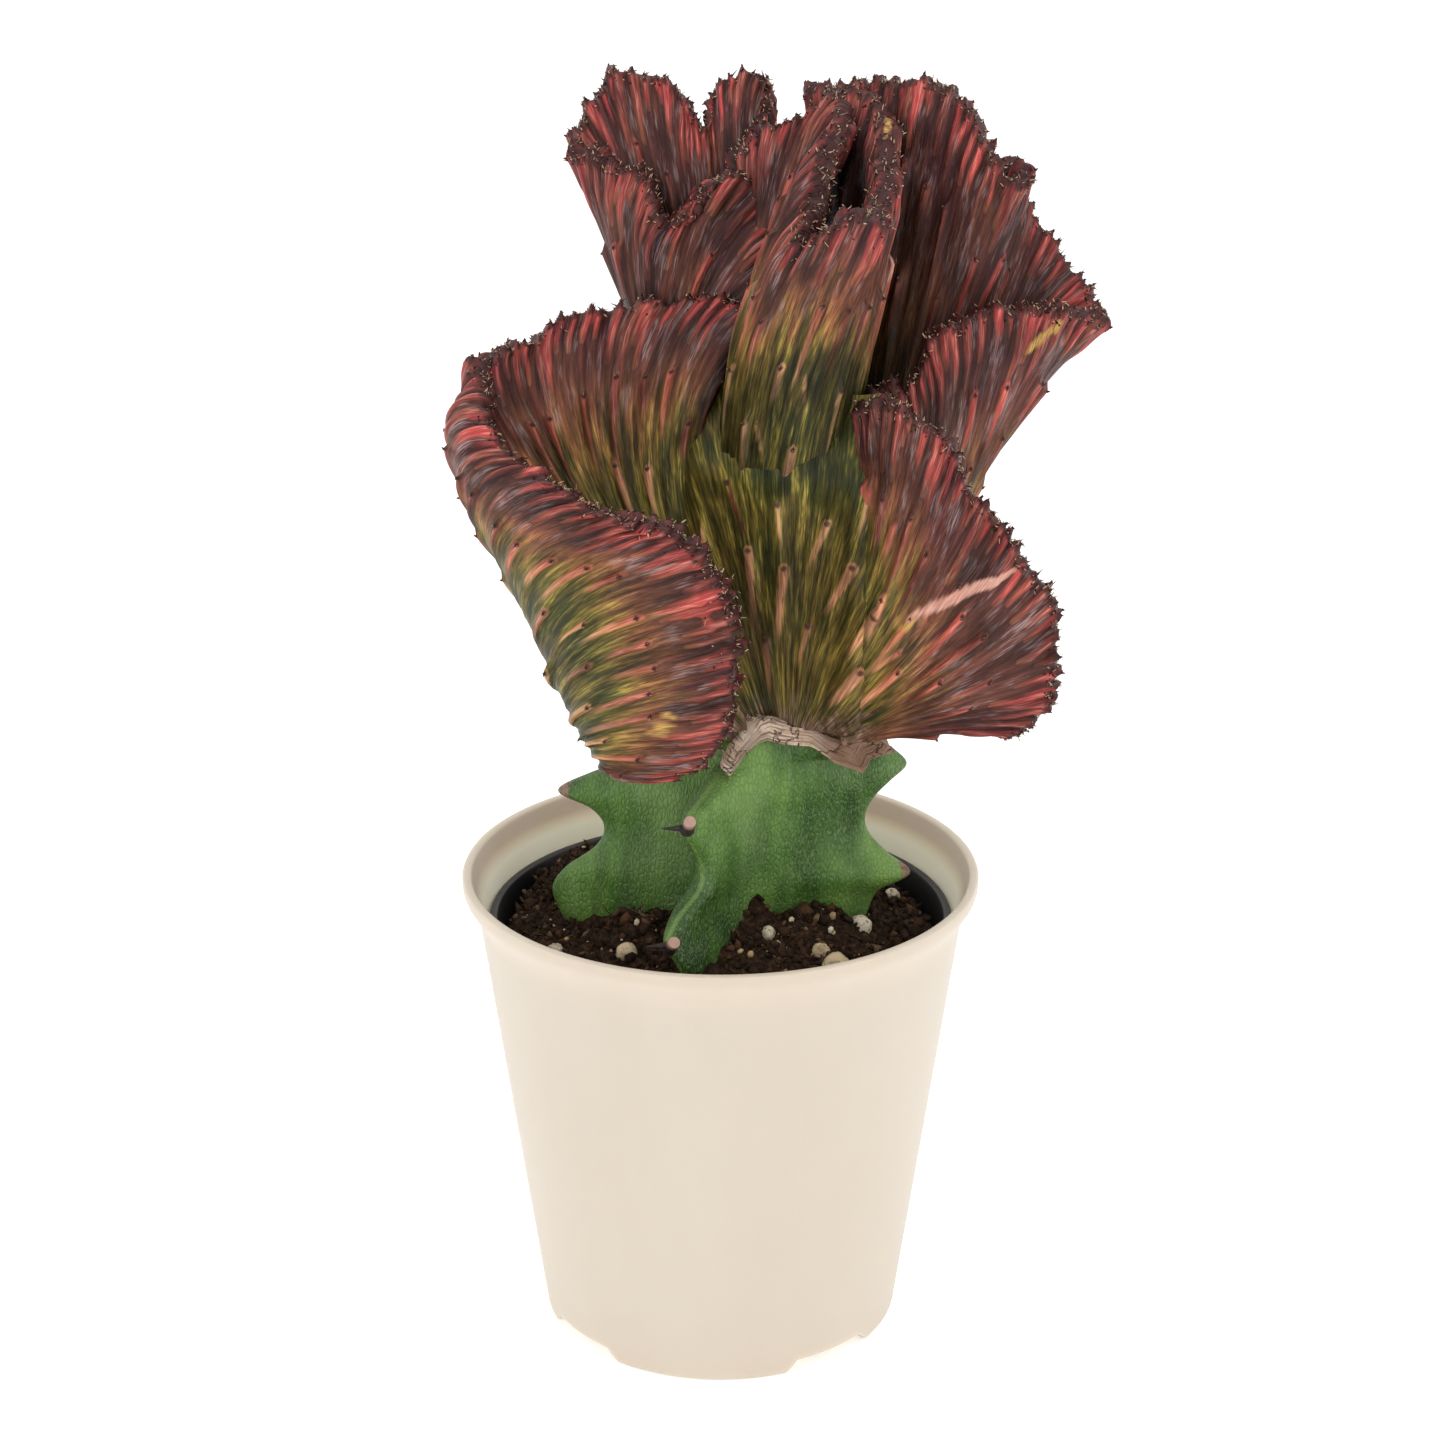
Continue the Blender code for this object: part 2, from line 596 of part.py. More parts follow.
def outer_pot(collection, cutters, material):
    """Cream pot with a flared lip, a flat base and four notches in its foot."""
    slope = (POT_WALL_TOP_RADIUS - POT_FOOT_RADIUS) / POT_WALL_TOP_HEIGHT
    profile = [
        (0.0, POT_FLOOR),
        (POT_FOOT_RADIUS + slope * POT_FLOOR - POT_WALL - 2.0, POT_FLOOR),
        (POT_FOOT_RADIUS + slope * POT_FLOOR - POT_WALL, POT_FLOOR + 2.0),
        (POT_WALL_TOP_RADIUS - POT_WALL, POT_WALL_TOP_HEIGHT),
        (POT_RIM_RADIUS - 4.0, POT_HEIGHT - 5.0),
        (POT_RIM_RADIUS - 2.9, POT_HEIGHT - 0.6),
        (POT_RIM_RADIUS - 2.2, POT_HEIGHT),
        (POT_RIM_RADIUS - 0.8, POT_HEIGHT),
        (POT_RIM_RADIUS, POT_HEIGHT - 0.9),
        (POT_RIM_RADIUS - 0.1, POT_HEIGHT - 3.0),
        (POT_RIM_RADIUS - 1.5, POT_HEIGHT - 6.0),
        (POT_RIM_RADIUS - 3.4, POT_HEIGHT - 9.0),
        (POT_WALL_TOP_RADIUS, POT_WALL_TOP_HEIGHT),
        (POT_FOOT_RADIUS, 0.6),
        (POT_FOOT_RADIUS - 0.6, 0.0),
        (0.0, 0.0),
    ]
    pot = turned("outer_pot", profile, POT_SEGMENTS, collection, material)
    for degrees in FOOT_NOTCH_ANGLES:
        cut(pot, foot_notch(degrees, cutters))
        place = around(POT_FOOT_RADIUS - 0.6 * FOOT_NOTCH_DEPTH, degrees)
        cut(pot, upright_cylinder("drain", place, DRAIN_RADIUS, 1.0, POT_FLOOR + 1.0, 12,
                                  cutters))
    return pot


def nursery_pot(collection, cutters, material):
    """Thin black pot that the plant grows in, standing on the outer pot's floor."""
    low = POT_FLOOR + GAP
    wall_top = NURSERY_RIM_HEIGHT - 4.5
    wall_radius = NURSERY_RIM_RADIUS - 1.5
    profile = [
        (0.0, low + NURSERY_FLOOR),
        (NURSERY_FOOT_RADIUS - NURSERY_WALL, low + NURSERY_FLOOR),
        (wall_radius - NURSERY_WALL, wall_top),
        (NURSERY_RIM_RADIUS - NURSERY_RIM_WIDTH, NURSERY_RIM_HEIGHT - 0.5),
        (NURSERY_RIM_RADIUS - NURSERY_RIM_WIDTH + 0.5, NURSERY_RIM_HEIGHT),
        (NURSERY_RIM_RADIUS - 0.5, NURSERY_RIM_HEIGHT),
        (NURSERY_RIM_RADIUS, NURSERY_RIM_HEIGHT - 0.5),
        (NURSERY_RIM_RADIUS - 0.3, NURSERY_RIM_HEIGHT - 3.5),
        (wall_radius, wall_top),
        (NURSERY_FOOT_RADIUS, low + 0.6),
        (NURSERY_FOOT_RADIUS - 0.6, low),
        (0.0, low),
    ]
    pot = turned("nursery_pot", profile, NURSERY_SEGMENTS, collection, material)
    for index in range(NURSERY_DRAINS):
        place = around(NURSERY_FOOT_RADIUS - 11.0, 360.0 * index / NURSERY_DRAINS)
        cut(pot, upright_cylinder("drain", place, 4.0, low - 1.0, low + 3.0, 10, cutters))
    return pot


# Soil
def soil_height(x, y):
    """Height of the lumpy soil, which climbs a little towards the rootstock."""
    distance = math.hypot(x, y)
    mound = SOIL_MOUND * max(0.0, 1.0 - distance / 60.0)
    lumps = (math.sin(0.31 * x + 1.3) * math.cos(0.27 * y - 0.4)
             + 0.7 * math.sin(0.63 * y + 0.41 * x) + 0.4 * math.cos(0.9 * x - 0.7 * y))
    return SOIL_LEVEL + mound + SOIL_LUMP * lumps


def soil_body(collection, material):
    """The soil that fills the nursery pot, with an uneven top."""
    low = POT_FLOOR + GAP + NURSERY_FLOOR + GAP
    wall_top = NURSERY_RIM_HEIGHT - 4.5
    inner_top = NURSERY_RIM_RADIUS - 1.5 - NURSERY_WALL - GAP
    inner_foot = NURSERY_FOOT_RADIUS - NURSERY_WALL - GAP
    edge_height = SOIL_LEVEL - 5.0
    edge = inner_foot + (inner_top - inner_foot) * (edge_height - low) / (wall_top - low) - 0.2

    def circle(radius, height):
        turns = np.linspace(0.0, 2.0 * math.pi, SOIL_SEGMENTS, endpoint=False)
        ring = [(radius * math.cos(turn), radius * math.sin(turn)) for turn in turns]
        return [(x, y, soil_height(x, y) if height is None else height) for x, y in ring]

    rings = [circle(inner_foot - 0.4, low), circle(edge, edge_height)]
    for index in range(SOIL_RINGS):
        rings.append(circle((edge - 0.6) * (1.0 - index / (SOIL_RINGS - 0.4)), None))
    return stacked_rings("soil", rings, collection, material)


def swollen_copy(item, distance, collection):
    """A copy whose surface stands off by a distance, to cut a clearance with."""
    copy = bpy.data.objects.new(item.name + "_clearance", item.data.copy())
    collection.objects.link(copy)
    shape = bmesh.new()
    shape.from_mesh(copy.data)
    shape.normal_update()
    moves = [(vertex, vertex.normal.copy()) for vertex in shape.verts]
    for vertex, normal in moves:
        sharpness = max(0.5, vertex.calc_shell_factor())
        vertex.co += normal * distance * MM * min(2.0, sharpness)
    shape.to_mesh(copy.data)
    shape.free()
    return copy


# Rootstock
def closed_curve(points, samples):
    """A smooth closed curve through the points."""
    points = np.asarray(points, float)
    curve = []
    for i in range(len(points)):
        before, start, end, after = (points[(i + k) % len(points)] for k in (-1, 0, 1, 2))
        for t in np.linspace(0.0, 1.0, samples, endpoint=False):
            leave, arrive = 0.4 * (end - before), 0.4 * (after - start)
            curve.append((2 * t**3 - 3 * t**2 + 1) * start + (t**3 - 2 * t**2 + t) * leave
                         + (3 * t**2 - 2 * t**3) * end + (t**3 - t**2) * arrive)
    return curve


def stock_ring(level):
    """Section of the rootstock at one level: three wings and the valleys between."""
    height, left, right, front, share = level
    back, left_front, right_front = (
        np.array(low) * (1.0 - share) + np.array(top) * share
        for low, top in zip(VALLEYS_LOW, VALLEYS_TOP))
    if height < SOIL_LEVEL:
        sink = (SOIL_LEVEL - height) / (SOIL_LEVEL - STOCK_FOOT)
        middle = np.array((8.0, -2.0))
        back, left_front, right_front = (
            valley + 0.35 * sink * (middle - valley) for valley in (back, left_front, right_front))
    aside = np.array((0.8, -0.6)) * WING_HALF
    front = np.array(front) + np.array((0.4, 0.9)) * WING_SWING
    left, right = (left[0] + WING_SWING, left[1]), (right[0] - WING_SWING, right[1])
    control = [
        (right[0], right[1] - WING_HALF), (right[0], right[1] + WING_HALF), back,
        (left[0], left[1] + WING_HALF), (left[0], left[1] - WING_HALF), left_front,
        front - aside, front + aside, right_front,
    ]
    return [(x, y, height) for x, y in closed_curve(control, STOCK_SAMPLES)]


def thorn(foot, tip, radius, sides, collection):
    """A thorn or spine as a slim cone, sunk into what it grows from."""
    foot, tip = Vector(foot), Vector(tip)
    along = tip - foot
    mesh = bpy.data.meshes.new("thorn")
    shape = bmesh.new()
    bmesh.ops.create_cone(shape, cap_ends=True, segments=sides, radius1=radius * MM,
                          radius2=0.3 * MM, depth=(along.length + THORN_ROOT) * MM)
    turn = along.to_track_quat("Z", "Y").to_matrix().to_4x4()
    bmesh.ops.transform(shape, verts=shape.verts, matrix=turn)
    middle = (foot + tip) * 0.5 - along.normalized() * 0.5 * THORN_ROOT
    bmesh.ops.translate(shape, verts=shape.verts, vec=middle * MM)
    shape.to_mesh(mesh)
    shape.free()
    item = bpy.data.objects.new("thorn", mesh)
    collection.objects.link(item)
    return item


def rootstock(collection, cutters, material):
    """The green three-winged stock that carries the graft."""
    stock = stacked_rings("rootstock", [stock_ring(level) for level in STOCK_LEVELS],
                          collection, material)
    thorns = [thorn(foot, tip, THORN_RADIUS, THORN_SIDES, cutters) for foot, tip in THORNS]
    fuse(stock, thorns, cutters)
    return stock


def graft_collar(stock, collection, cutters, material):
    """Corky callus between stock and crest, hanging over the stock's top."""
    draw = random.Random(7)
    waves = [(draw.uniform(0.0, 6.28), lobes) for lobes in (3, 5, 8)]
    rings = []
    for height, wide, deep, uneven in COLLAR_LEVELS:
        ring = []
        for turn in np.linspace(0.0, 2.0 * math.pi, COLLAR_SIDES, endpoint=False):
            bump = uneven * sum(math.sin(lobes * turn + start) for start, lobes in waves) / 2.0
            ring.append((COLLAR_CENTRE[0] + (wide + bump) * math.cos(turn),
                         COLLAR_CENTRE[1] + (deep + bump) * math.sin(turn), height))
        rings.append(ring)
    collar = stacked_rings("graft_collar", rings, collection, material)
    cut(collar, swollen_copy(stock, GAP, cutters))
    keep_largest(collar)
    return collar


def keep_largest(item):
    """Drop loose scraps and keep the largest body of the mesh."""
    shape = bmesh.new()
    shape.from_mesh(item.data)
    left = set(shape.verts)
    bodies = []
    while left:
        front = [left.pop()]
        body = list(front)
        while front:
            for edge in front.pop().link_edges:
                for vertex in edge.verts:
                    if vertex in left:
                        left.remove(vertex)
                        front.append(vertex)
                        body.append(vertex)
        bodies.append(body)
    bodies.sort(key=len)
    scraps = [vertex for body in bodies[:-1] for vertex in body]
    bmesh.ops.delete(shape, geom=scraps, context="VERTS")
    shape.to_mesh(item.data)
    shape.free()


def grain(index, place, collection, material):
    """One irregular grain of perlite, half sunk in the soil."""
    x, y, radius = place
    draw = random.Random(40 + index)
    name = "perlite_%02d" % (index + 1)
    mesh = bpy.data.meshes.new(name)
    shape = bmesh.new()
    bmesh.ops.create_uvsphere(shape, u_segments=7, v_segments=5, radius=radius * MM)
    for vertex in shape.verts:
        vertex.co *= draw.uniform(0.82, 1.12)
    bmesh.ops.scale(shape, verts=shape.verts, vec=(1.0, draw.uniform(0.75, 1.0), 0.8))
    middle = Vector((x, y, soil_height(x, y) + GRAIN_SINK * radius))
    bmesh.ops.translate(shape, verts=shape.verts, vec=middle * MM)
    shape.to_mesh(mesh)
    shape.free()
    item = bpy.data.objects.new(name, mesh)
    collection.objects.link(item)
    mesh.materials.append(material)
    return item


def smooth_shading(item, degrees):
    """Shade the object smooth apart from its sharp edges."""
    item.data.shade_smooth()
    item.data.set_sharp_from_angle(angle=math.radians(degrees))


def build():
    """Build every solid of the potted plant."""
    clear_scene()
    parts = new_collection(OBJECT_NAME)
    cutters = new_collection("cutters")
    pot = outer_pot(parts, cutters, principled("outer_pot", (0.80, 0.72, 0.61), 0.55))
    liner = nursery_pot(parts, cutters, principled("nursery_pot", (0.02, 0.02, 0.025), 0.5))
    stock = rootstock(parts, cutters, principled("rootstock", (0.07, 0.19, 0.06), 0.45))
    collar = graft_collar(stock, parts, cutters,
                          principled("graft_collar", (0.42, 0.24, 0.12), 0.85))
    crest = crest_solid(collar, parts, cutters, principled("crest", (0.19, 0.05, 0.04), 0.5))
    soil = soil_body(parts, principled("soil", (0.045, 0.022, 0.012), 0.95))
    cut(soil, swollen_copy(stock, GAP, cutters))
    perlite = principled("perlite", (0.62, 0.52, 0.36), 0.9)
    for index, place in enumerate(GRAINS):
        pebble = grain(index, place, parts, perlite)
        cut(soil, swollen_copy(pebble, GAP, cutters))
    keep_largest(soil)
    for item in (pot, liner, collar, stock):
        smooth_shading(item, 40.0)
    bpy.data.collections.remove(cutters)
    return crest


build()
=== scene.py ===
"""Looks of the potted coral cactus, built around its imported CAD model."""

import math
import random

import bmesh
import bpy
import numpy as np
from mathutils import Matrix, Vector
from mathutils.bvhtree import BVHTree


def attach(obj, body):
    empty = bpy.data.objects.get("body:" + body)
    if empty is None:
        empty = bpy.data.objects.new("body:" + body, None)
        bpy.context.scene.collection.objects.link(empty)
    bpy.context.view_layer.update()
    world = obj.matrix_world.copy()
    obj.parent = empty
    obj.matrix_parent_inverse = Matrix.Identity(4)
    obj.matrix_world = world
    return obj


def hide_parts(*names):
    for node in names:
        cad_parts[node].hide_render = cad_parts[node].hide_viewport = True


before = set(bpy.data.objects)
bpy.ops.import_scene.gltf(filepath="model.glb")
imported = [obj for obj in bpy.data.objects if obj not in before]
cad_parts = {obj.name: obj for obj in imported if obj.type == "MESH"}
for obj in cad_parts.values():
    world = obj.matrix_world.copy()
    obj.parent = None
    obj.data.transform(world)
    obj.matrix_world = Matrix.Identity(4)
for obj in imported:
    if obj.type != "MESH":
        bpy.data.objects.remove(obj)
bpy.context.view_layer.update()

# Sizes are in millimetres, apart from those of the camera, the lights and the floor. The
# form of the pots, the rootstock, the collar and the crest follows the CAD, and what is
# finer or stands out farther here has its own value.
MM = 0.001
BODY = "root"

# Camera: place in metres, downward tilt in degrees, and lens and sensor in millimetres
CAMERA_PLACE = (0.0006, -0.8825, 0.526)
CAMERA_TILT = 20.98
CAMERA_LENS = 81.24
CAMERA_SENSOR = 36.0

# Outer pot
POT_HEIGHT = 142.0
POT_RIM_RADIUS = 76.0
POT_FOOT_RADIUS = 53.4
POT_WALL_TOP_RADIUS = 71.2     # outside of the wall, just under the flared rim
POT_WALL_TOP_HEIGHT = 129.0
POT_WALL = 1.9
POT_FLOOR = 7.0
FOOT_NOTCH_HEIGHT = 4.2
FOOT_NOTCH_DEPTH = 13.0
FOOT_NOTCH_HALF_ANGLE = 16.0
FOOT_NOTCH_ANGLES = (-52.0, 38.0, 128.0, 218.0)    # measured from the front of the pot
DRAIN_RADIUS = 3.5
DRAIN_SIDES = 24
POT_SEGMENTS = 192
POT_SMOOTH_ANGLE = 35.0
POT_LIP = (                    # from inside to outside, measured from the rim and the top
    (-4.0, -5.0), (-2.9, -0.8), (-2.6, -0.25), (-2.1, 0.0), (-0.9, 0.0), (-0.3, -0.25),
    (0.0, -0.9), (-0.1, -3.0), (-0.6, -4.5), (-1.5, -6.0), (-2.7, -7.8), (-3.6, -9.6),
)

# Nursery pot
NURSERY_RIM_HEIGHT = 128.0
NURSERY_RIM_RADIUS = 68.4
NURSERY_WALL = 1.2
NURSERY_RIM_WIDTH = 2.6
NURSERY_FLOOR = 1.6
NURSERY_FOOT_RADIUS = 50.6
GAP = 0.3                      # between the two pots' floors

# Soil and perlite
SOIL_LEVEL = 121.5
SOIL_MOUND = 12.0              # how far the soil climbs towards the rootstock
SOIL_LUMP = 1.1
SOIL_CRUMB_HEIGHT = 3.2
SOIL_PORE_DEPTH = 1.5
SOIL_EDGE_RADIUS = 64.3
SOIL_EDGE_WIDTH = 2.5          # over this width at its edge it is drawn down, by the drop below
SOIL_EDGE_DROP = 3.0
STOCK_BAR = (-42.0, 41.0, -9.0, 9.0)    # where the rootstock stands: x from and to, y from and to
STOCK_SPUR = (-9.0, 0.15, 6.0, -40.0)   # its front wing: x of its root, lean, half width, y of tip
GRAINS = (                     # place on the soil and radius
    (33, -37, 4.3), (41, -10, 3.5), (29, -29, 2.6), (50, -25, 3.0), (14, -21, 2.4),
    (-36, 9, 3.2), (-27, -30, 3.0), (-48, -19, 2.6), (4, -46, 2.4), (22, 44, 2.8),
    (-20, 48, 3.0), (52, 20, 2.6),
)
GRAIN_SINK = 0.45              # share of a grain's radius that its middle lies above the soil

# Rootstock
STOCK_FOOT = 92.0
STOCK_LEVELS = (               # height, left tip, right tip, front tip, share of the top's width
    (92, (-8, 4), (28, 2), (2, -16), 0.0),
    (108, (-28, 3), (38, 1), (-6, -30), 0.0),
    (120, (-42, 2), (42, 0), (-10, -39), 0.0),
    (129, (-47, 1), (44, -1), (-12, -42), 0.0),
    (136, (-48, 1), (47, -2), (-15, -41), 0.1),
    (142, (-44, 1), (55, -3), (-12, -36), 0.1),
    (147, (-37, 2), (49, -1), (-7, -31), 0.2),
    (154, (-34, 3), (43.5, 1), (-6, -29), 0.4),
    (160, (-38, 3), (43.5, 1), (-8, -30), 0.5),
    (165, (-46, 3), (46, 1), (-10, -31), 0.6),
    (170, (-38, 3), (50, 0), (-9, -30), 0.8),
    (175, (-26, 2), (54, 0), (-4, -24), 0.9),
    (180, (-15, 1), (50, 0), (0, -17), 1.0),
)
WING_HALF = 3.4                # half the thickness of a wing at its tip
WING_SWING = 3.2               # how far the section's curve swings out past its tip points
VALLEYS_LOW = ((12, 14), (-11, -8), (10, -15))     # back, left front and right front
VALLEYS_TOP = ((18, 12), (1, -8), (15, -14))
# Foot and tip of each thorn and of each cut stub
THORNS = (((-9, -31, 167.5), (-16.5, -34, 168.5)), ((-14, -42, 136), (-21, -44, 136.5)))
THORN_STUBS = (((-9.5, -30, 166.5), (-8.5, -36, 171.5)), ((-14.5, -41, 134.5), (-13, -46.5, 139)))
THORN_RADIUS = 1.3
STUB_RADIUS = 2.1
THORN_SIDES = 20
THORN_SMOOTH_ANGLE = 40.0
SECTION_POINTS = 9             # points of a section, and where its three tips lie among them
WING_TIPS = (0.5, 3.5, 6.5)
WING_TIP_REACH = 0.42

# Collar
COLLAR_TOP = 190.0
COLLAR_LEVELS = (              # height, half width, half depth, unevenness
    (172, 21.0, 15.0, 2.6), (176, 22.5, 16.0, 2.4), (180.5, 23.0, 16.0, 1.6),
    (185, 22.0, 14.5, 1.0), (190, 19.0, 11.5, 0.5),
)
COLLAR_CENTRE = (23.0, -1.5)
COLLAR_HALF_WIDTH = 23.0
COLLAR_ARC_RADIUS = 19.0

# Crest
CREST_COLUMNS = 166
EDGE_SAMPLES = 4000
SHORTEST_RIB = 30.0
GRAFT_CENTRE = (21.0, -2.0, COLLAR_TOP - 1.0)
HALF_WAY_CENTRE = (12.0, 3.0, 262.0)
GATHER = 0.24                  # how far the sheet draws together at its foot
HALF_WAY_PASSES = 16           # how much the half way line and the foot are smoothed
FOOT_PASSES = 60
ROLL_ROUNDNESS = 0.28          # how round a rolled stretch of the sheet is
THINNING_PASSES = 60
BEND_LIMIT = 0.75              # the sheet is thinned where it bends more than this
THICK_SHARE = 0.6              # the sheet thins out up to this share of its height
SHEET_HALF_BASE = 6.0          # half its thickness at the foot and at the edge
SHEET_HALF_EDGE = 3.9

# The crest is one thick sheet whose growing edge winds to and fro. Each fold
# gives points along the growing edge, then points that the sheet passes through
# half way down. Its foot is that half way line drawn together over the graft.
FOLDS = (
    # near wall of the left cup, rolled towards the front
    (((-17, -35, 185), (-4, -43, 195), (3, -50, 213), (4, -54, 229), (2, -57, 243),
      (-4, -58, 256), (-13, -58, 264), (-24, -57, 267), (-35, -54, 270),
      (-44, -49, 274), (-53, -42, 276), (-60, -33, 281)),
     ((-25, -23, 184), (-33, -26, 190), (-38, -30, 202), (-43, -32, 217),
      (-49, -32, 231), (-54, -31, 242), (-58, -28, 250), (-62, -24, 258),
      (-63, -18, 263))),
    # left turn and far wall of the left cup
    (((-64, -22, 286), (-65, -10, 290), (-65, 2, 294), (-60, 10, 297), (-53, 15, 297),
      (-45, 19, 302), (-34, 21, 304), (-20, 21, 305), (-6, 18, 308), (6, 14, 308),
      (14, 10, 307), (20, 8, 305), (25, 12, 305)),
     ((-61, -10, 262), (-55, -3, 258), (-47, 3, 254), (-38, 6, 250), (-29, 7, 250),
      (-21, 6, 252), (-15, 5, 255), (-8, 5, 259), (-3, 8, 263))),
    # upper left tier behind it
    (((25, 18, 309), (21, 22, 315), (18, 25, 322), (19, 30, 329), (14, 33, 335),
      (6, 34, 341), (-1, 33, 338), (-7, 29, 331), (-12, 27, 328), (-17, 29, 330),
      (-19, 34, 338), (-24, 38, 341), (-31, 41, 342), (-37, 45, 345), (-41, 48, 343)),
     ((-3, 13, 267), (-7, 17, 272), (-10, 20, 277), (-12, 22, 280), (-14, 23, 284),
      (-17, 24, 287), (-21, 28, 290), (-24, 33, 293))),
    # farthest tier at the top left
    (((-41, 56, 350), (-35, 60, 359), (-32, 64, 364), (-24, 65, 363), (-14, 62, 361),
      (-8, 57, 353), (-4, 54, 349), (-2, 60, 357), (4, 64, 363), (10, 65, 365),
      (14, 60, 359)),
     ((-20, 39, 295), (-15, 42, 297), (-9, 42, 299), (-2, 38, 299), (4, 38, 300),
      (10, 37, 300), (13, 33, 300))),
    # small lobe in the middle of the top
    (((10, 51, 352), (4, 45, 345), (8, 40, 346), (14, 39, 351), (22, 39, 355),
      (30, 38, 359)),
     ((13, 28, 297), (14, 23, 294), (15, 20, 293), (16, 17, 292))),
    # edge that runs to the front, round the small front lobe, and back again
    (((35, 33, 360), (33, 22, 355), (31, 12, 349), (29, 3, 343), (25, -6, 335),
      (23, -13, 329), (27, -18, 335), (33, -19, 339), (38, -17, 339), (42, -11, 335),
      (44, -3, 338), (45, 5, 341), (47, 13, 346), (48, 22, 353), (45, 32, 359),
      (38, 42, 362), (30, 48, 362)),
     ((16, 14, 289), (9, 11, 281), (2, 9, 272), (-3, 4, 264), (1, -3, 259),
      (9, -9, 258), (19, -14, 260), (29, -15, 263), (36, -12, 267), (38, -4, 276),
      (39, 8, 287), (33, 21, 293), (23, 30, 295))),
    # big upper right lobe
    (((25, 53, 361), (30, 59, 361), (41, 55, 363), (52, 48, 364), (60, 43, 364), (66, 41, 363),
      (71, 37, 358), (74, 32, 353), (77, 27, 346), (81, 24, 340), (86, 28, 339),
      (85, 36, 343), (82, 44, 340)),
     ((22, 37, 296), (34, 37, 297), (45, 32, 297), (54, 26, 296), (58, 20, 292), (62, 14, 287),
      (65, 15, 281), (66, 22, 281))),
    # far wall of the right cup
    (((88, 48, 327), (95, 46, 321), (101, 42, 311), (106, 36, 305), (109, 28, 301)),
     ((67, 27, 280), (72, 29, 275), (76, 25, 268), (77, 19, 263))),
    # near wall of the right cup
    (((106, 20, 303), (95, 14, 306), (84, 10, 307), (76, 7, 309), (67, 3, 306),
      (60, -1, 303), (55, -4, 293), (52, -5, 287), (46, 1, 288)),
     ((75, 9, 260), (69, 2, 260), (62, -3, 260), (55, -8, 255), (49, -11, 250),
      (43, -9, 246))),
    # lower right lobe
    (((39, -10, 284), (42, -20, 288), (51, -26, 288), (60, -30, 282), (64, -33, 276),
      (69, -36, 267), (75, -38, 261), (81, -40, 252), (87, -41, 245), (91, -42, 238),
      (92, -42, 225), (92, -41, 213), (87, -39, 203), (78, -36, 197)),
     ((37, -17, 243), (41, -26, 244), (50, -31, 241), (57, -34, 236), (61, -35, 228),
      (64, -35, 218), (66, -34, 209), (63, -30, 201), (59, -26, 196))),
)

# How far below the rim each fold turns from red to green, in millimetres
FOLD_REACH = (
    (22, 22, 24), (28, 30, 34), (48, 56, 66), (80, 80), (80, 70),
    (58, 28, 24, 26, 40, 64), (72, 72), (62, 60), (50, 52, 46), (24, 36, 52, 55),
)

# Where along the edge the half way points of the first two folds belong
HALF_WAY_KNOTS = (
    (0, 1.4, 3.0, 4.9, 6.8, 8.6, 10.0, 11.1, 12.0),
    (12.8, 13.6, 14.8, 16.2, 17.8, 19.4, 20.9, 22.4, 24.0),
)

# Fineness of the dressed crest
COARSE_COLUMNS = 332
FINE_COLUMNS = 2561
HALVES = 2                     # pieces that each face of the crest comes in
BODY_ROWS = 44
EVEN_ROWS = 0.45               # this share of their spacing is even
CROWDED_ROWS = 0.55            # this share shrinks towards the rim, by the power below
ROW_CROWDING = 1.8
OFFSET_PASSES = (5, 75)        # smoothing of the thickness: everywhere, and more at the foot
CAP_ROWS = 8
CAP_HEIGHT = 2.0
RIM_NARROWING = 0.4            # how much thinner the sheet is at its rim, over this length
RIM_NARROWING_LENGTH = 9.0
END_TAPER = 5.0                # the sheet's two ends are rounded over this length
UNWRAP_STRIPS = 2

# Ribs and tubercles
RIB_PITCH = 4.0
RIB_SPACINGS = (0.55, 1.45)    # least and largest share of the pitch between two ribs
RIB_STRENGTHS = (0.2, 0.5, 0.8, 1.0, 1.2)
RIB_TEETH = 1.7
TOOTH_WIDTH = 0.9
UNEVEN_RIM = 2.2               # how far the rim rises and sinks between its teeth
RIM_RIB_TOPS = (-1.6, 0.8)     # how far below the rim a rib there begins
RIM_RIB_LENGTHS = (5.0, 9.0)   # its length before its own strength adds to it
RIM_RIB_GROWTH = 13.0          # the most that a strength of 1 adds
RUFFLE_DEPTH = 6.0
RUFFLE_LENGTH = 24.0           # the ruffles of the rim fade out over this length
TUBERCLE_ALONG = 12.0          # least room between two tubercles, along and across the ribs
TUBERCLE_ACROSS = 4.5
TUBERCLE_SPREAD = 0.022        # how that room grows with each millimetre below the rim
TUBERCLE_TRIES = 16000
TUBERCLE_FIRST = 9.0           # how far below the rim they begin
TUBERCLE_LAST = 0.92           # at what share of the way down they end
TUBERCLE_LENGTHS = (12.0, 32.0)
TUBERCLE_WIDTH = 1.25
TUBERCLE_TAPER = 0.55          # how much narrower its tail is
TUBERCLE_HEIGHT = 2.0
WIDER_BELOW = (40.0, 100.0)    # they grow wider between these depths below the rim
SWELL_WIDTH = 1.3              # how far a raised place swells, in its own half widths
FLUTE_HEIGHT = 0.55            # the low rib that a tubercle runs out in, by its own sizes
FLUTE_WIDTH = 1.8
FOLD_DEPTH = 1.1               # fine folds along the ribs, and slow waves across them
WAVE_DEPTH = 0.9
FAR_OFF = 5.0                  # a distance that counts as away from any tubercle

# Places on the growing edge that are raised or lowered: place, rise and reach
RIM_BUMPS = (((-4, 57, 354), 4.0, 5.0), ((1, 61, 359), 2.5, 3.0), ((7, 65, 364), -3.5, 5.0),
             ((14, 60, 359), 2.0, 4.0))

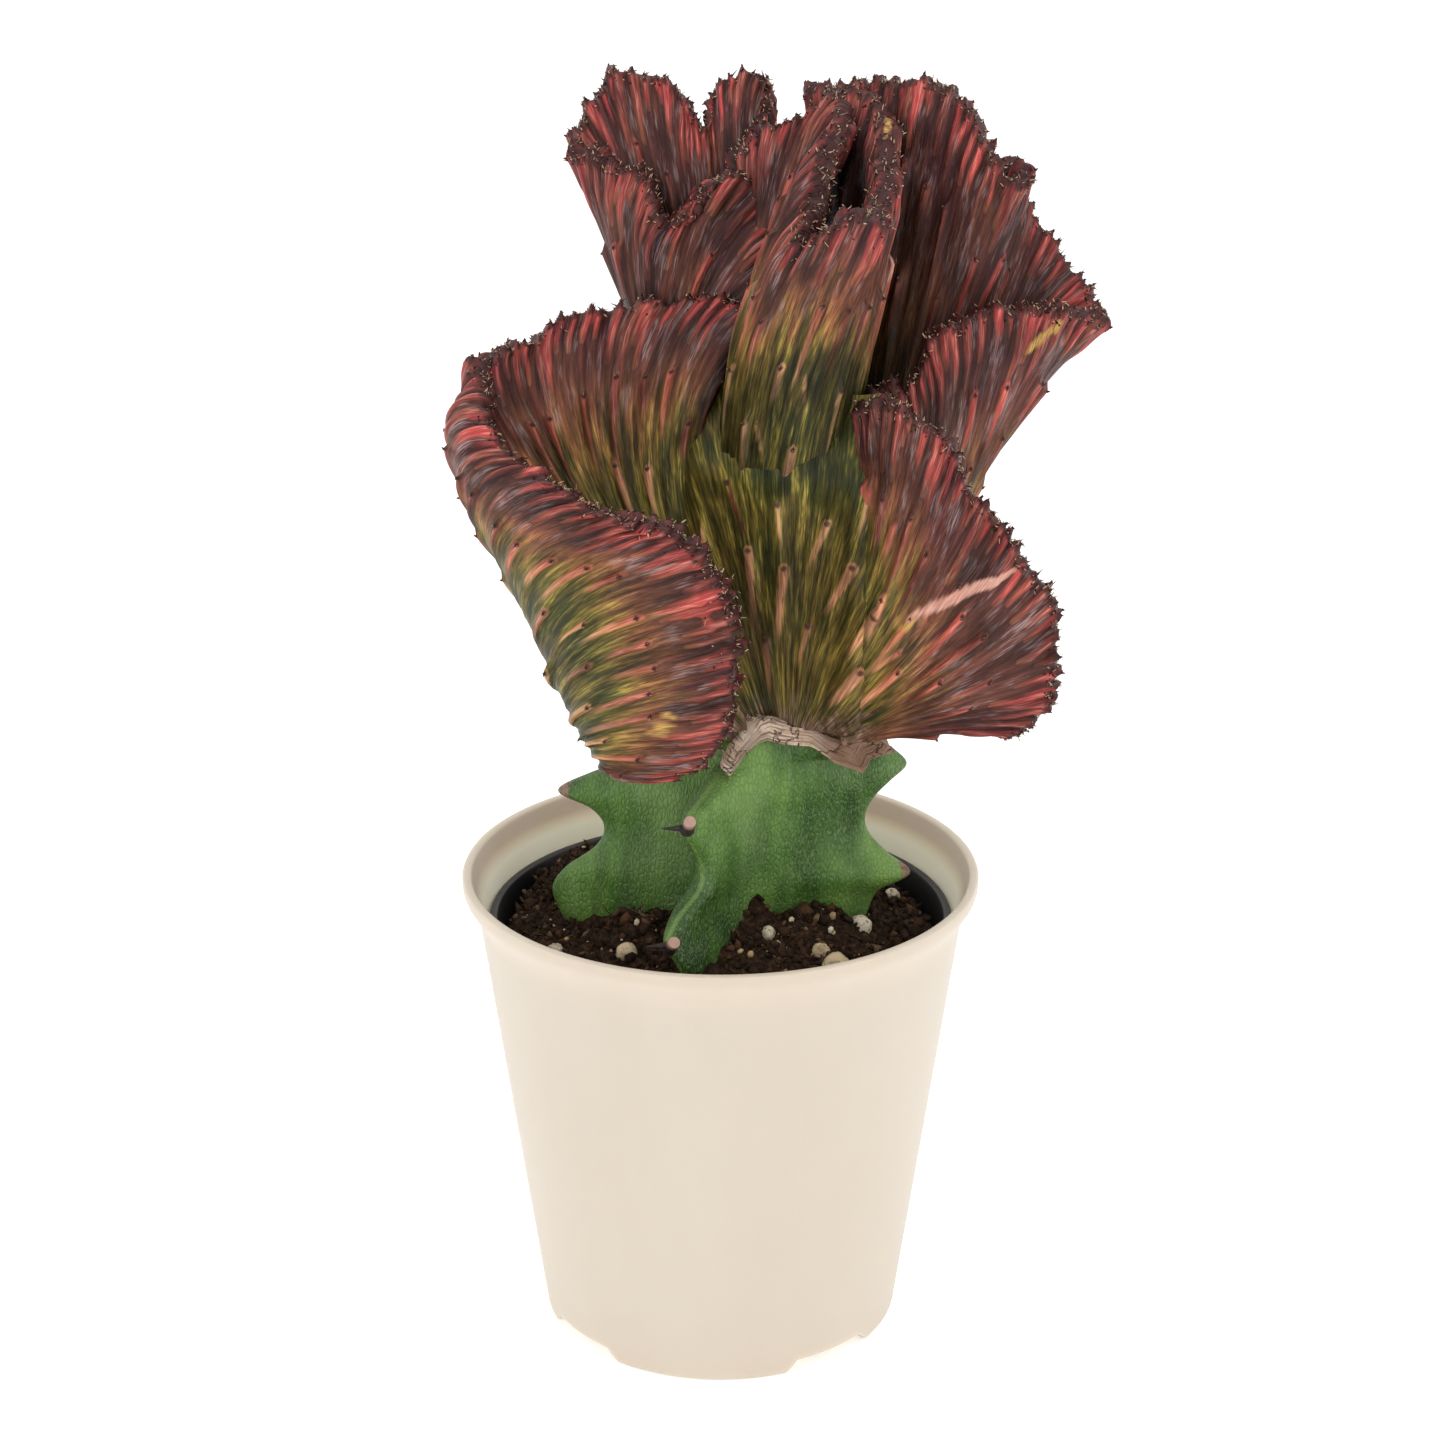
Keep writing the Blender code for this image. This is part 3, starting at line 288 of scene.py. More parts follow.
# Marks on the crest as seen from the front: x and z of both ends, half width, and the
# depth that they don't lie behind
PALE_MARKS = (((51, 232, 79, 249), 1.4, -16), ((47.5, 318, 49, 331), 0.7, 10))
TAN_MARKS = (((48, 229, 52, 232), 2.0, -14), ((-18, 203, -14, 206), 2.2, -20),
             ((-16, 210, -13, 208), 1.0, -20), ((86, 297, 95, 304), 1.2, 18),
             ((46, 354, 47, 358), 1.0, 30))
# The dark marks below are painted shade on the front of the crest about its trunk
SOFT_MARK = 0.5                # how firm the dark marks are at their edges
SHADE_MARKS = (((14, 296, 13, 262), 11.0, 10), ((31, 300, 32, 262), 9.0, 10),
              ((0, 285, 2, 262), 7.0, 10), ((28, 268, 36, 240), 7.0, 10))

# Ridges low on the crest as seen from the front: x and z of tip and tail, half width, darkness
FRONT_RIDGES = (
    ((8, 243, 10, 216), 1.3, 0.0), ((18, 239, 16, 214), 1.5, 0.0), ((2, 262, 8, 244), 0.75, 0.9),
    ((16, 258, 17, 244), 0.8, 0.2), ((30, 254, 24, 238), 1.2, 0.1), ((37, 243, 29, 226), 1.4, 0.1),
    ((43, 231, 35, 216), 1.4, 0.1), ((50, 222, 40, 212), 1.1, 0.1), ((39, 213, 30, 200), 1.6, 0.1),
    ((-6, 249, -3, 236), 0.9, 0.1), ((41, 266, 38, 250), 0.8, 0.5), ((48, 258, 44, 246), 0.9, 0.5),
    ((13, 216, 14, 200), 1.1, 0.5), ((23, 296, 23, 284), 0.7, 0.5), ((-6, 276, -2, 264), 0.6, 0.4),
    ((10, 281, 12, 268), 0.7, 0.4), ((25, 222, 22, 208), 0.9, 0.3),
)
FRONT_RIDGE_HEIGHT = 1.1
RIDGES_BEFORE = -2.0           # they are drawn only on what lies before this y
FACING = 0.15                  # the outward y below which a surface faces the front

# Sheet that closes the narrow clefts beside the trunk, seen from the front
WEB_X = (-18.0, 48.0)
WEB_Z = (191.0, 288.0)
WEB_STEP = 0.8
WEB_BALL = 22.0                # radius of the ball that can't enter the clefts
WEB_SOFTENING = (6, 12)        # smoothing passes along x and along z
WEB_PROUD = 1.5                # how far it lies before the trunk
WEB_TUCK = 9.0                 # how far its sides and its top bend back
WEB_TUCK_TOP = 14.0
WEB_TUCK_FROM = (-4.0, 36.0)   # x where its sides begin to bend, and height where its top does
WEB_TUCK_TOP_FROM = 261.0
WEB_FAN = (19.0, 176.0)        # its fibres fan out from this place
WEB_FAN_SPREAD = 60.0
WEB_FIBRE_DEPTH = 1.4
WEB_FIBRE_FADE = (264.0, 240.0)    # heights where the fibres begin and are full
WEB_GREENING = (238.0, 266.0)  # it grows greener between these heights
# The least openness below keeps the painted shade on the web light
WEB_LEAST_SKY = 0.66           # it counts as at least this open
WEB_SHADOW = 0.2               # share of the dark marks that shows on it
WEB_BEHIND = 16.0              # nothing is closed where the crest lies farther back
WEB_FREE = (8.0, -22.0)        # what lies left of this x and before this y is the left lobe

# How open each place of the crest lies, for the shade painted into its folds: grid steps, rays, and
# where and how far they go
SKY_STEP = 8
SKY_ROWS = 14
SKY_RAYS = 44
SKY_START = 2.5                # so far off the skin, to pass over its relief
SKY_REACH = 55.0
GOLDEN_ANGLE = 2.4

# Cork skirt of the graft: x and height of its hem, and its thickness
HEM = ((-1, 184), (3, 180.5), (6.5, 179.5), (9.5, 185), (13, 188.5), (16, 189.5), (24, 187.6),
       (28.7, 182.5), (35.4, 179), (40, 182), (45, 182.5))
HEM_AT_BACK = 179.0
SKIRT_TOP_LEFT = 195.0
SKIRT_TOP_RIGHT = 187.0
SKIRT_LEVELS = (*COLLAR_LEVELS, (196, 18.5, 10.5, 0.3))
SKIRT_LOBES = (3, 5, 8)        # waves around it, one upon another
SKIRT_THICK = 1.5
SKIRT_FRONT = 1.45             # the skirt stands out this much farther in front
SKIRT_SQUARENESS = 0.62
SKIRT_RIGHT = (14.0, 36.0)     # its right side begins and is reached at these x
HEM_ROLL = (30.0, 35.0)        # its hem rolls outward between these x
NECK_LEVELS = (                # the rootstock goes on under the skirt, in the same columns
    (180.6, (-14, 1), (41, 0), (0, -17), 1.0),
    (185, (-12, 1), (40, 0), (2, -17.5), 1.0),
    (190, (-6, 1), (38, 0), (3, -15), 1.0),
)
HEAPS = (                      # of soil: place, height and radius
    ((-43, 26), 12.0, 11.0), ((9, -15), 8.0, 5.0), ((-25, -18), 6.0, 8.0), ((43, 9), 15.0, 4.5),
    ((28, -15), 6.0, 13.0),
)

# Spines of the crest
RIM_SPINES = 4600
RIM_SPINE_LENGTH = (0.6, 1.2)  # the least, and how much more
RIM_SPINE_THICKNESS = (0.24, 0.26)
TIP_SPINES = (                 # dark stub and thin spine: the least, and how much more
    ((0.7, 0.4), (0.7, 0.8)),  # length
    ((0.45, 0.2), (0.16, 0.08)),   # thickness
    ((0.0, 0.25), (0.4, 0.6)),     # tone
)
SPINE_TAPER = 0.75

# Fineness and counts of the other pieces
STOCK_SAMPLES = 14
STOCK_ROWS = 90
STOCK_SHOWN_FROM = 112.0       # height in the soil below which nothing of it is built
COLLAR_SIDES = 220
COLLAR_ROWS = 44
SOIL_RINGS = 100
SOIL_SECTORS = 220
SOIL_CRUMBS = 5600
SMALL_PERLITE = 300
SOIL_FIBRES = 420

# Noise and random draws
LATTICE_SIZE = 1024
LATTICE_SEED = 11
RELIEF_SEED = 3
SPINE_SEED = 5
COLLAR_SEED = 7
SOIL_SEED = 21

# Light: name, place and size in metres, and power in watts
LIGHTS = (
    ("front_light", (-0.25, -1.95, 0.75), 0.8, 0.8),
    ("left_light", (-1.25, -1.1, 1.3), 0.8, 2.4),
    ("right_light", (1.35, -1.0, 1.1), 0.9, 3.0),
    ("top_light", (0.0, 0.1, 1.9), 1.0, 5.0),
)
LIT_PLACE = (0.0, 0.0, 0.2)
WORLD_LIGHT = 0.92
FLOOR_GLOW = 0.35
FLOOR_SPAN = 30.0
FLOOR_LOWERED = 0.0002

# Colours, in linear red, green and blue
VALLEY_MAROON = (0.028, 0.009, 0.010)
# Grey of the waxy coat, partly painted sheen
WAX_AND_SHEEN_GREY = (0.27, 0.205, 0.205)
RIM_DARK = (0.05, 0.014, 0.015)
SCAR_DARK = (0.035, 0.014, 0.013)
# Painted sheen and painted shade in vertical bands on the rootstock
PALE_SHEEN_VEIL = (0.21, 0.30, 0.13)
DEEP_SHADE_VEIL = (0.026, 0.070, 0.012)
NET_GREEN = (0.035, 0.085, 0.02)
DASH_GREEN = (0.19, 0.29, 0.12)
RIDGE_GREEN = (0.22, 0.36, 0.09)
CORK_BROWN = (0.20, 0.085, 0.04)
CORK_LINE = (0.13, 0.07, 0.045)
CORK_CRACK = (0.06, 0.03, 0.02)
PORE_BROWN = (0.20, 0.13, 0.07)
STAIN_BROWN = (0.16, 0.10, 0.055)
CREAM = (0.66, 0.58, 0.48)
CREAM_DEEPER = (0.64, 0.555, 0.455)
# Painted light that makes the pot's inner wall paler
CREAM_LIT_INSIDE = (0.97, 0.90, 0.77)
BLACK = (0.012, 0.011, 0.013)
BLACK_DEEPER = (0.017, 0.016, 0.019)
RIM_SPINE_ROOT = (0.06, 0.018, 0.016)
RIM_SPINE_TIP = (0.82, 0.60, 0.38)
STUB_ROOT = (0.06, 0.028, 0.022)
STUB_TIP = (0.60, 0.44, 0.30)


# Meshes
def link_object(name, data):
    """Put a mesh, a light or a camera into the scene."""
    item = bpy.data.objects.new(name, data)
    bpy.context.scene.collection.objects.link(item)
    return item


def mesh_object(name, points, faces, smooth=True):
    """Make an object from points in millimetres and faces that all have as many corners."""
    points = np.asarray(points, float).reshape(-1, 3)
    faces = np.asarray(faces, np.int32)
    mesh = bpy.data.meshes.new(name)
    mesh.vertices.add(len(points))
    mesh.vertices.foreach_set("co", (points * MM).astype(np.float32).ravel())
    mesh.loops.add(faces.size)
    mesh.loops.foreach_set("vertex_index", faces.ravel())
    mesh.polygons.add(len(faces))
    mesh.polygons.foreach_set("loop_start", np.arange(0, faces.size, faces.shape[1], dtype=np.int32))
    mesh.update(calc_edges=True)
    mesh.validate()
    if smooth:
        mesh.shade_smooth()
    return link_object(name, mesh)


def write_attributes(item, **measures):
    """Write one number or one vector for each point of the mesh, for its material to read."""
    for name, values in measures.items():
        values = np.asarray(values, np.float32).ravel()
        kind, field = "FLOAT_VECTOR", "vector"
        if values.size == len(item.data.vertices):
            kind, field = "FLOAT", "value"
        item.data.attributes.new(name, kind, "POINT").data.foreach_set(field, values)


def unit(vectors):
    """Vectors brought to length one."""
    size = np.linalg.norm(vectors, axis=-1, keepdims=True)
    return vectors / np.maximum(size, 1e-9)


def grid_normals(points):
    """Unit vectors that stand on a grid of points."""
    return unit(np.cross(np.gradient(points, axis=0), np.gradient(points, axis=1)))


def face_corners(item):
    """The vertex at each corner of the mesh's faces."""
    index = np.empty(len(item.data.loops), np.int32)
    item.data.loops.foreach_get("vertex_index", index)
    return index


def lay_out(item, x, y):
    """Lay the corners of the faces out flat, as the map for a baked picture."""
    layer = item.data.uv_layers.new(name="OFBake")
    layer.data.foreach_set("uv", np.stack([x, y], axis=1).astype(np.float32).ravel())


def grid_faces(columns, rows, flip=False, closed=False):
    """Four-cornered faces of a grid, closed over its columns if wanted."""
    index = np.arange(columns * rows).reshape(columns, rows)
    if closed:
        index = np.concatenate([index, index[:1]])
    quads = np.stack([index[:-1, :-1], index[1:, :-1], index[1:, 1:], index[:-1, 1:]], axis=-1)
    quads = quads.reshape(-1, 4)
    return quads[:, ::-1] if flip else quads


# Noise on points
LATTICE = np.random.default_rng(LATTICE_SEED).random((LATTICE_SIZE, LATTICE_SIZE))


def lattice_noise(x, y):
    """Smooth noise from 0 to 1 over a plane."""
    x, y = np.asarray(x, float) + 311.7, np.asarray(y, float) + 173.3
    left, low = np.floor(x).astype(int), np.floor(y).astype(int)
    fx, fy = x - left, y - low
    fx, fy = fx * fx * (3 - 2 * fx), fy * fy * (3 - 2 * fy)

    def at(i, j):
        return LATTICE[(left + i) % LATTICE_SIZE, (low + j) % LATTICE_SIZE]

    return ((at(0, 0) * (1 - fx) + at(1, 0) * fx) * (1 - fy)
            + (at(0, 1) * (1 - fx) + at(1, 1) * fx) * fy)


def rough_noise(x, y, octaves=3):
    """Several octaves of the noise, from 0 to 1."""
    total, weight = 0.0, 0.0
    for octave in range(octaves):
        total = total + lattice_noise(x * 2**octave + 37 * octave, y * 2**octave) * 0.5**octave
        weight += 0.5**octave
    return total / weight


def smooth_step(low, high, value):
    """Rise from 0 at low to 1 at high without corners."""
    t = np.clip((value - low) / (high - low), 0.0, 1.0)
    return t * t * (3.0 - 2.0 * t)


# Middle surface of the crest, along the guides of the CAD
def hermite(t, start, end, leave, arrive):
    """Smooth curve from start to end with the directions in which it leaves and arrives."""
    return ((2 * t**3 - 3 * t**2 + 1) * start + (t**3 - 2 * t**2 + t) * leave
            + (3 * t**2 - 2 * t**3) * end + (t**3 - t**2) * arrive)


def through(knots, points, at):
    """Read a smooth curve that passes through the points at their knots."""
    knots = np.asarray(knots, float)
    points = np.asarray(points, float)
    slopes = np.gradient(points, knots, axis=0)
    cell = np.clip(np.searchsorted(knots, at, side="right") - 1, 0, len(knots) - 2)
    width = (knots[cell + 1] - knots[cell])[:, None]
    t = ((at - knots[cell]) / width[:, 0])[:, None]
    return hermite(t, points[cell], points[cell + 1], slopes[cell] * width, slopes[cell + 1] * width)


def crest_guides():
    """Gather the folds into two guides: the growing edge and the half way line."""
    edge, middle, reach = [], [], []
    for fold, (edge_points, middle_points) in enumerate(FOLDS):
        first = len(edge)
        last = first + len(edge_points) - 1
        edge.extend(zip(range(first, last + 1), edge_points))
        if fold < len(HALF_WAY_KNOTS):
            knots = HALF_WAY_KNOTS[fold]
        else:
            knots = np.linspace(first, last, len(middle_points))
        middle.extend(zip(knots, middle_points))
        reach.extend(zip(np.linspace(first, last, len(FOLD_REACH[fold])), FOLD_REACH[fold]))
    return edge, middle, reach


def read_guide(guide, at):
    """Read one guide at the given places along the edge."""
    return through([knot for knot, _ in guide], [point for _, point in guide], at)


def soften(values, passes):
    """Smooth values along the columns and keep both ends."""
    values = values.copy()
    for _ in range(passes):
        values[1:-1] = 0.25 * values[:-2] + 0.5 * values[1:-1] + 0.25 * values[2:]
    return values


def crest_sheet(columns):
    """Four guide lines of the crest's ribs, and how far below the rim it turns green."""
    edge, belly, reach = crest_guides()
    fine = np.linspace(0.0, len(edge) - 1.0, EDGE_SAMPLES)
    line = read_guide(edge, fine)
    length = np.concatenate([[0.0], np.cumsum(np.linalg.norm(np.diff(line, axis=0), axis=1))])
    at = np.interp(np.linspace(0.0, length[-1], columns), length, fine)
    evenness = (columns / CREST_COLUMNS) ** 2
    top = read_guide(edge, at)
    half_way = soften(read_guide(belly, at), int(round(HALF_WAY_PASSES * evenness)))
    gathered = soften(half_way, int(round(FOOT_PASSES * evenness)))
    foot = np.array(GRAFT_CENTRE) + (gathered - np.array(HALF_WAY_CENTRE)) * GATHER
    foot[:, 2] = GRAFT_CENTRE[2]
    span = top - foot
    bulge = np.linalg.norm(half_way - 0.5 * (foot + top), axis=1)
    roll = np.minimum(1.0, bulge / np.linalg.norm(span, axis=1))[:, None]
    swing = (1.0 / 6.0 + ROLL_ROUNDNESS * roll) * span
    middle = (8.0 * half_way - foot - top) / 6.0
    depth = np.interp(at, [knot for knot, _ in reach], [value for _, value in reach])
    return (foot, middle - swing, middle + swing, top), depth, length[-1]


def along_ribs(guides, t):
    """Points of the ribs, where t holds shares from foot to edge for every column."""
    foot, first, second, top = (guide[:, None] for guide in guides)
    t = t[:, :, None]
    return ((1 - t)**3 * foot + 3 * t * (1 - t)**2 * first
            + 3 * t**2 * (1 - t) * second + t**3 * top)


def thin_in_bends(surface, offset):
    """Thin the sheet where it bends more sharply than it is thick."""
    offset = offset.copy()
    for _ in range(THINNING_PASSES):
        share = np.ones(offset.shape[:2])
        for axis, lines in ((0, share), (1, share.T)):
            step = np.diff(surface, axis=axis)
            swing = np.diff(offset, axis=axis)
            ratio = np.abs((step * swing).sum(2)) / np.maximum((step * step).sum(2), 1e-6)
            tight = np.where(ratio > BEND_LIMIT, 0.95, 1.0)
            tight = tight if axis == 0 else tight.T
            lines[:-1] = np.minimum(lines[:-1], tight)
            lines[1:] = np.minimum(lines[1:], tight)
        offset *= share[:, :, None]
    return offset


def sheet_offsets(surface, t, along):
    """Vectors across the sheet that are half its thickness long, smooth along its columns."""
    half = SHEET_HALF_BASE + (SHEET_HALF_EDGE - SHEET_HALF_BASE) * np.minimum(1.0, t / THICK_SHARE)
    steps = np.linalg.norm(np.diff(surface, axis=1), axis=2)
    left = np.concatenate([steps[:, ::-1].cumsum(axis=1)[:, ::-1], np.zeros((len(t), 1))], axis=1)
    half = half * (1.0 - RIM_NARROWING * smooth_step(RIM_NARROWING_LENGTH, 0.0, left))
    offset = grid_normals(surface) * half[:, :, None]
    evenness = (COARSE_COLUMNS / CREST_COLUMNS) ** 2
    for row in range(BODY_ROWS):
        low = max(0.0, 1.0 - t[:, row].mean() / THICK_SHARE)
        passes = OFFSET_PASSES[0] + OFFSET_PASSES[1] * low**2
        offset[:, row] = soften(offset[:, row], int(round(passes * evenness)))
    offset -= (offset * along).sum(2, keepdims=True) * along
    return thin_in_bends(surface, offset)


def end_rounding(edge_length):
    """Share of its thickness that the sheet has at each column, less at its two ends."""
    place = np.linspace(0.0, edge_length, COARSE_COLUMNS)
    from_end = np.minimum(place, place[::-1]) / END_TAPER
    return np.sqrt(np.clip(1.0 - (1.0 - np.minimum(1.0, from_end)) ** 2, 0.0, 1.0))


def crest_sides():
    """Both faces of the sheet up to the crown of its rim, on the coarse columns."""
    guides, reach, edge_length = crest_sheet(COARSE_COLUMNS)
    rib = np.linalg.norm(guides[3] - guides[2], axis=1) * 3.0
    end = 1.0 - CAP_HEIGHT / np.maximum(rib, SHORTEST_RIB)
    share = np.linspace(0.0, 1.0, BODY_ROWS)
    share = EVEN_ROWS * share + CROWDED_ROWS * (1.0 - (1.0 - share) ** ROW_CROWDING)
    t = share[None, :] * end[:, None]
    surface = along_ribs(guides, t)
    along = unit(np.gradient(surface, axis=1))
    rounding = end_rounding(edge_length)
    offset = sheet_offsets(surface, t, along) * rounding[:, None, None]
    turn = np.linspace(0.0, 0.5 * math.pi, CAP_ROWS + 1)[1:]
    rise = CAP_HEIGHT * (0.5 + 0.5 * rounding)[:, None] * np.sin(turn)[None, :]
    cap_middle = surface[:, -1:] + along[:, -1:] * rise[:, :, None]
    cap_offset = offset[:, -1:] * (np.cos(turn) ** 0.7)[None, :, None]
    surface = np.concatenate([surface, cap_middle], axis=1)
    offset = np.concatenate([offset, cap_offset], axis=1)
    return surface + offset, surface - offset, reach, edge_length


def finer(values, columns):
    """Read the coarse columns at more places."""
    coarse = values.reshape(len(values), -1)
    at = np.linspace(0.0, len(values) - 1.0, columns)
    return through(np.arange(len(values)), coarse, at).reshape(columns, *values.shape[1:])


def past_ends(down, long):
    """How far each place lies past the two ends of a line."""
    return np.maximum(np.maximum(-down, down - long), 0.0)


def measure_line(x, z, ends):
    """Length of a line, and how far each place lies along it, across it and past its ends."""
    x0, z0, x1, z1 = ends
    long = math.hypot(x1 - x0, z1 - z0)
    down = ((x - x0) * (x1 - x0) + (z - z0) * (z1 - z0)) / long
    across = ((x - x0) * (z1 - z0) - (z - z0) * (x1 - x0)) / long
    return long, down, across, past_ends(down, long)


def plain_measures(flat, tone):
    """The measures of a surface that no tubercle rises from."""
    return {"shape": flat + FAR_OFF, "tip": flat + FAR_OFF, "fade": flat + 0.0, "tone": flat + tone}


class Skin:
    """One face of the crest on its fine grid, with the measures that its material reads."""

    def __init__(self, points, reach, edge_length, side):
        self.side = side
        self.points = finer(points, FINE_COLUMNS)
        self.reach = finer(reach[:, None], FINE_COLUMNS)[:, 0]
        self.edge = np.linspace(0.0, edge_length, FINE_COLUMNS)
        self.from_end = np.minimum(self.edge, self.edge[::-1])
        steps = np.linalg.norm(np.diff(self.points, axis=1), axis=2)
        self.climbed = np.concatenate([np.zeros((FINE_COLUMNS, 1)), np.cumsum(steps, axis=1)], axis=1)
        self.below = self.climbed[:, BODY_ROWS - 1:BODY_ROWS] - self.climbed
        self.spacing = np.maximum(np.linalg.norm(np.gradient(self.points, axis=0), axis=2), 0.01)
        self.lift = np.zeros_like(self.below)
        self.measures = plain_measures(self.lift, 0.5)

    def outward(self):
        """Unit vectors that point out of the crest."""
        return grid_normals(self.points) * (1.0 if self.side == 0 else -1.0)

    def row_at(self, column, depth):
        """The row of a column that lies a depth below the rim."""
        return int(np.argmin(np.abs(self.below[column] - depth)))

    def raise_tubercle(self, column, top, long, wide, tall, tone, lean):
        """Raise one long tubercle whose tip lies top millimetres below the rim."""
        near = (self.below[column] > top - FAR_OFF) & (self.below[column] < top + 2.0 * long)
        rows = np.nonzero(near)[0]
        if len(rows) < 2:
            return
        first, last = rows[0], rows[-1] + 1
        narrow = max(self.spacing[column, first:last].min(), 0.03)
        count = int(min(150, math.ceil(4.0 * wide / narrow)))
        left, right = max(0, column - count), min(FINE_COLUMNS, column + count + 1)
        window = (slice(left, right), slice(first, last))
        across = (np.arange(left, right) - column)[:, None] * self.spacing[column, first:last]
        down = self.below[window] - top
        share = np.clip(down / long, 0.0, 1.0)
        across = across + lean * np.sin(2.2 * share) * smooth_step(0.0, 4.0, self.below[window])
        beyond = past_ends(down, long)
        away = np.hypot(across, beyond) - wide * (1.0 - TUBERCLE_TAPER * share)
        shape, tip, fade, tones = (
            self.measures[name][window] for name in ("shape", "tip", "fade", "tone"))
        closer = away < shape
        for values, fresh in ((shape, away), (fade, 1.0 - share), (tones, tone + 0.0 * away)):
            values[closer] = fresh[closer]
        tip[:] = np.minimum(tip, np.hypot(across, down))
        swell = np.exp(-(np.hypot(across, 1.5 * beyond) / (SWELL_WIDTH * wide)) ** 2)
        swell = swell * (1.0 - share) ** 0.5
        fluting = FLUTE_HEIGHT * np.exp(-(across / (FLUTE_WIDTH * wide)) ** 2)
        fluting = fluting * np.clip(1.0 - down / (2.0 * long), 0.0, 1.0) * smooth_step(-2.0, 1.0, down)
        self.lift[window] = np.maximum(self.lift[window], np.maximum(swell, fluting) * tall)


def rib_columns(edge_length, draw):
    """Columns of the ribs that rise into teeth at the rim, with their strengths."""
    step = edge_length / (FINE_COLUMNS - 1)
    ribs, column = [], 5
    while column < FINE_COLUMNS - 5:
        ribs.append((column, draw.choice(RIB_STRENGTHS)))
        column += max(3, int(round(RIB_PITCH * draw.uniform(*RIB_SPACINGS) / step)))
    return ribs


def place_tubercles(skin, ribs, draw):
    """Set a row of ribs along the rim, then staggered tubercles down the face."""
    placed, spots = [], []
    for column, strength in ribs:
        top = draw.uniform(*RIM_RIB_TOPS)
        long = draw.uniform(*RIM_RIB_LENGTHS) + RIM_RIB_GROWTH * strength * draw.random()
        placed.append((column, top, long, TUBERCLE_WIDTH * (0.65 + 0.55 * strength)))
        spots.append(skin.points[column, skin.row_at(column, top + 4.0)])
    spots = np.array(spots)
    tries = [(draw.randrange(5, FINE_COLUMNS - 5), draw.random()) for _ in range(TUBERCLE_TRIES)]
    tries.sort(key=lambda pair: pair[1] * skin.climbed[pair[0], -1])
    lines = unit(np.gradient(skin.points, axis=1))
    for column, share in tries:
        last = TUBERCLE_LAST * skin.climbed[column, BODY_ROWS - 1]
        top = TUBERCLE_FIRST + share * (last - TUBERCLE_FIRST)
        row = skin.row_at(column, top)
        point, line = skin.points[column, row], lines[column, row]
        away = spots - point
        along = away @ line
        across = np.linalg.norm(away - along[:, None] * line, axis=1)
        room = 1.0 + TUBERCLE_SPREAD * top
        near = (along / TUBERCLE_ALONG) ** 2 + (across / TUBERCLE_ACROSS) ** 2 < room**2
        if near.any():
            continue
        spots = np.concatenate([spots, point[None]])
        wide = TUBERCLE_WIDTH * (0.9 + 0.3 * smooth_step(*WIDER_BELOW, top)) * draw.uniform(0.7, 1.3)
        placed.append((column, skin.below[column, row], draw.uniform(*TUBERCLE_LENGTHS), wide))
    return placed


def dress_skin(skin, placed, draw):
    """Raise the tubercles and move the points of the skin outward."""
    for column, top, long, wide in placed:
        tall = TUBERCLE_HEIGHT * draw.uniform(0.6, 1.3)
        skin.raise_tubercle(column, top, long, wide, tall, draw.random(), draw.uniform(-1.0, 1.0))
    edge, down = skin.edge[:, None], skin.below
    squeeze = np.clip(np.log2(skin.spacing[:, -1:] / skin.spacing), 0.0, 3.0)
    streak = np.zeros_like(down)
    for level in range(4):
        weight = np.clip(1.0 - np.abs(squeeze - level), 0.0, 1.0)
        across = edge / 2.0**level
        streak += weight * rough_noise(across * 0.42 + 90 * level, down * 0.045 + 50 * skin.side, 3)
    waves = rough_noise(edge * 0.09 + 7 * skin.side, down * 0.05, 2) - 0.5
    folds = (streak - 0.5) * FOLD_DEPTH * smooth_step(-2.0, 8.0, down)
    lift = skin.lift + folds + WAVE_DEPTH * waves * smooth_step(60.0, 10.0, down)
    lift = lift * smooth_step(0.0, 4.0, skin.from_end[:, None])
    skin.points = skin.points + skin.outward() * lift[:, :, None]
    skin.points = dress_front(skin.points, skin.outward(), skin.measures)
    skin.measures.update(squeeze=squeeze, streak=streak, climbed=skin.climbed)


def ruffle_rim(front, back, ribs):
    """Teeth and a slight sideways waver along the growing edge, alike on both faces."""
    teeth = np.zeros(FINE_COLUMNS)
    for column, strength in ribs:
        teeth += RIB_TEETH * strength * np.exp(-((front.edge - front.edge[column]) / TOOTH_WIDTH) ** 2)
    teeth += UNEVEN_RIM * (rough_noise(front.edge * 0.11, front.edge * 0.0 + 9.5, 3) - 0.5)
    rim = front.points[:, -1]
    for place, rise, width in RIM_BUMPS:
        away = np.linalg.norm(rim - np.array(place), axis=1)
        teeth += rise * np.exp(-(away / width) ** 2)
    ends = smooth_step(0.0, 6.0, front.from_end)
    waver = (rough_noise(front.edge * 0.09, front.edge * 0.0 + 3.5, 3) - 0.5) * RUFFLE_DEPTH * ends
    front_top, back_top = front.points[:, BODY_ROWS - 1], back.points[:, BODY_ROWS - 1]
    across = unit(front_top - back_top)
    rise = unit(front.points[:, -1] - 0.5 * (front_top + back_top))
    for skin in (front, back):
        near = smooth_step(RUFFLE_LENGTH, 0.0, skin.below)[:, :, None]
        close = smooth_step(6.0, -2.0, skin.below)[:, :, None]
        skin.points += across[:, None] * waver[:, None, None] * near
        skin.points += rise[:, None] * (teeth * ends)[:, None, None] * close


def mark_mask(points, outward, marks, firmness=0.75):
    """1 on the marks and 0 away from them, on what faces the front."""
    mask = np.zeros(points.shape[:2])
    x, z = points[:, :, 0], points[:, :, 2]
    ragged = rough_noise(x * 0.5, z * 0.5, 3) - 0.5
    for ends, half, behind in marks:
        long, down, across, beyond = measure_line(x, z, ends)
        share = np.clip(down / long, 0.0, 1.0)
        away = np.hypot(across, beyond) + 1.6 * half * ragged
        width = half * (1.0 - 0.6 * np.abs(2.0 * share - 1.0) ** 3)
        on_it = (outward[:, :, 1] < FACING) & (points[:, :, 1] < behind)
        mask = np.maximum(mask, on_it * smooth_step(2.0 - firmness, firmness, away / width))
    return mask


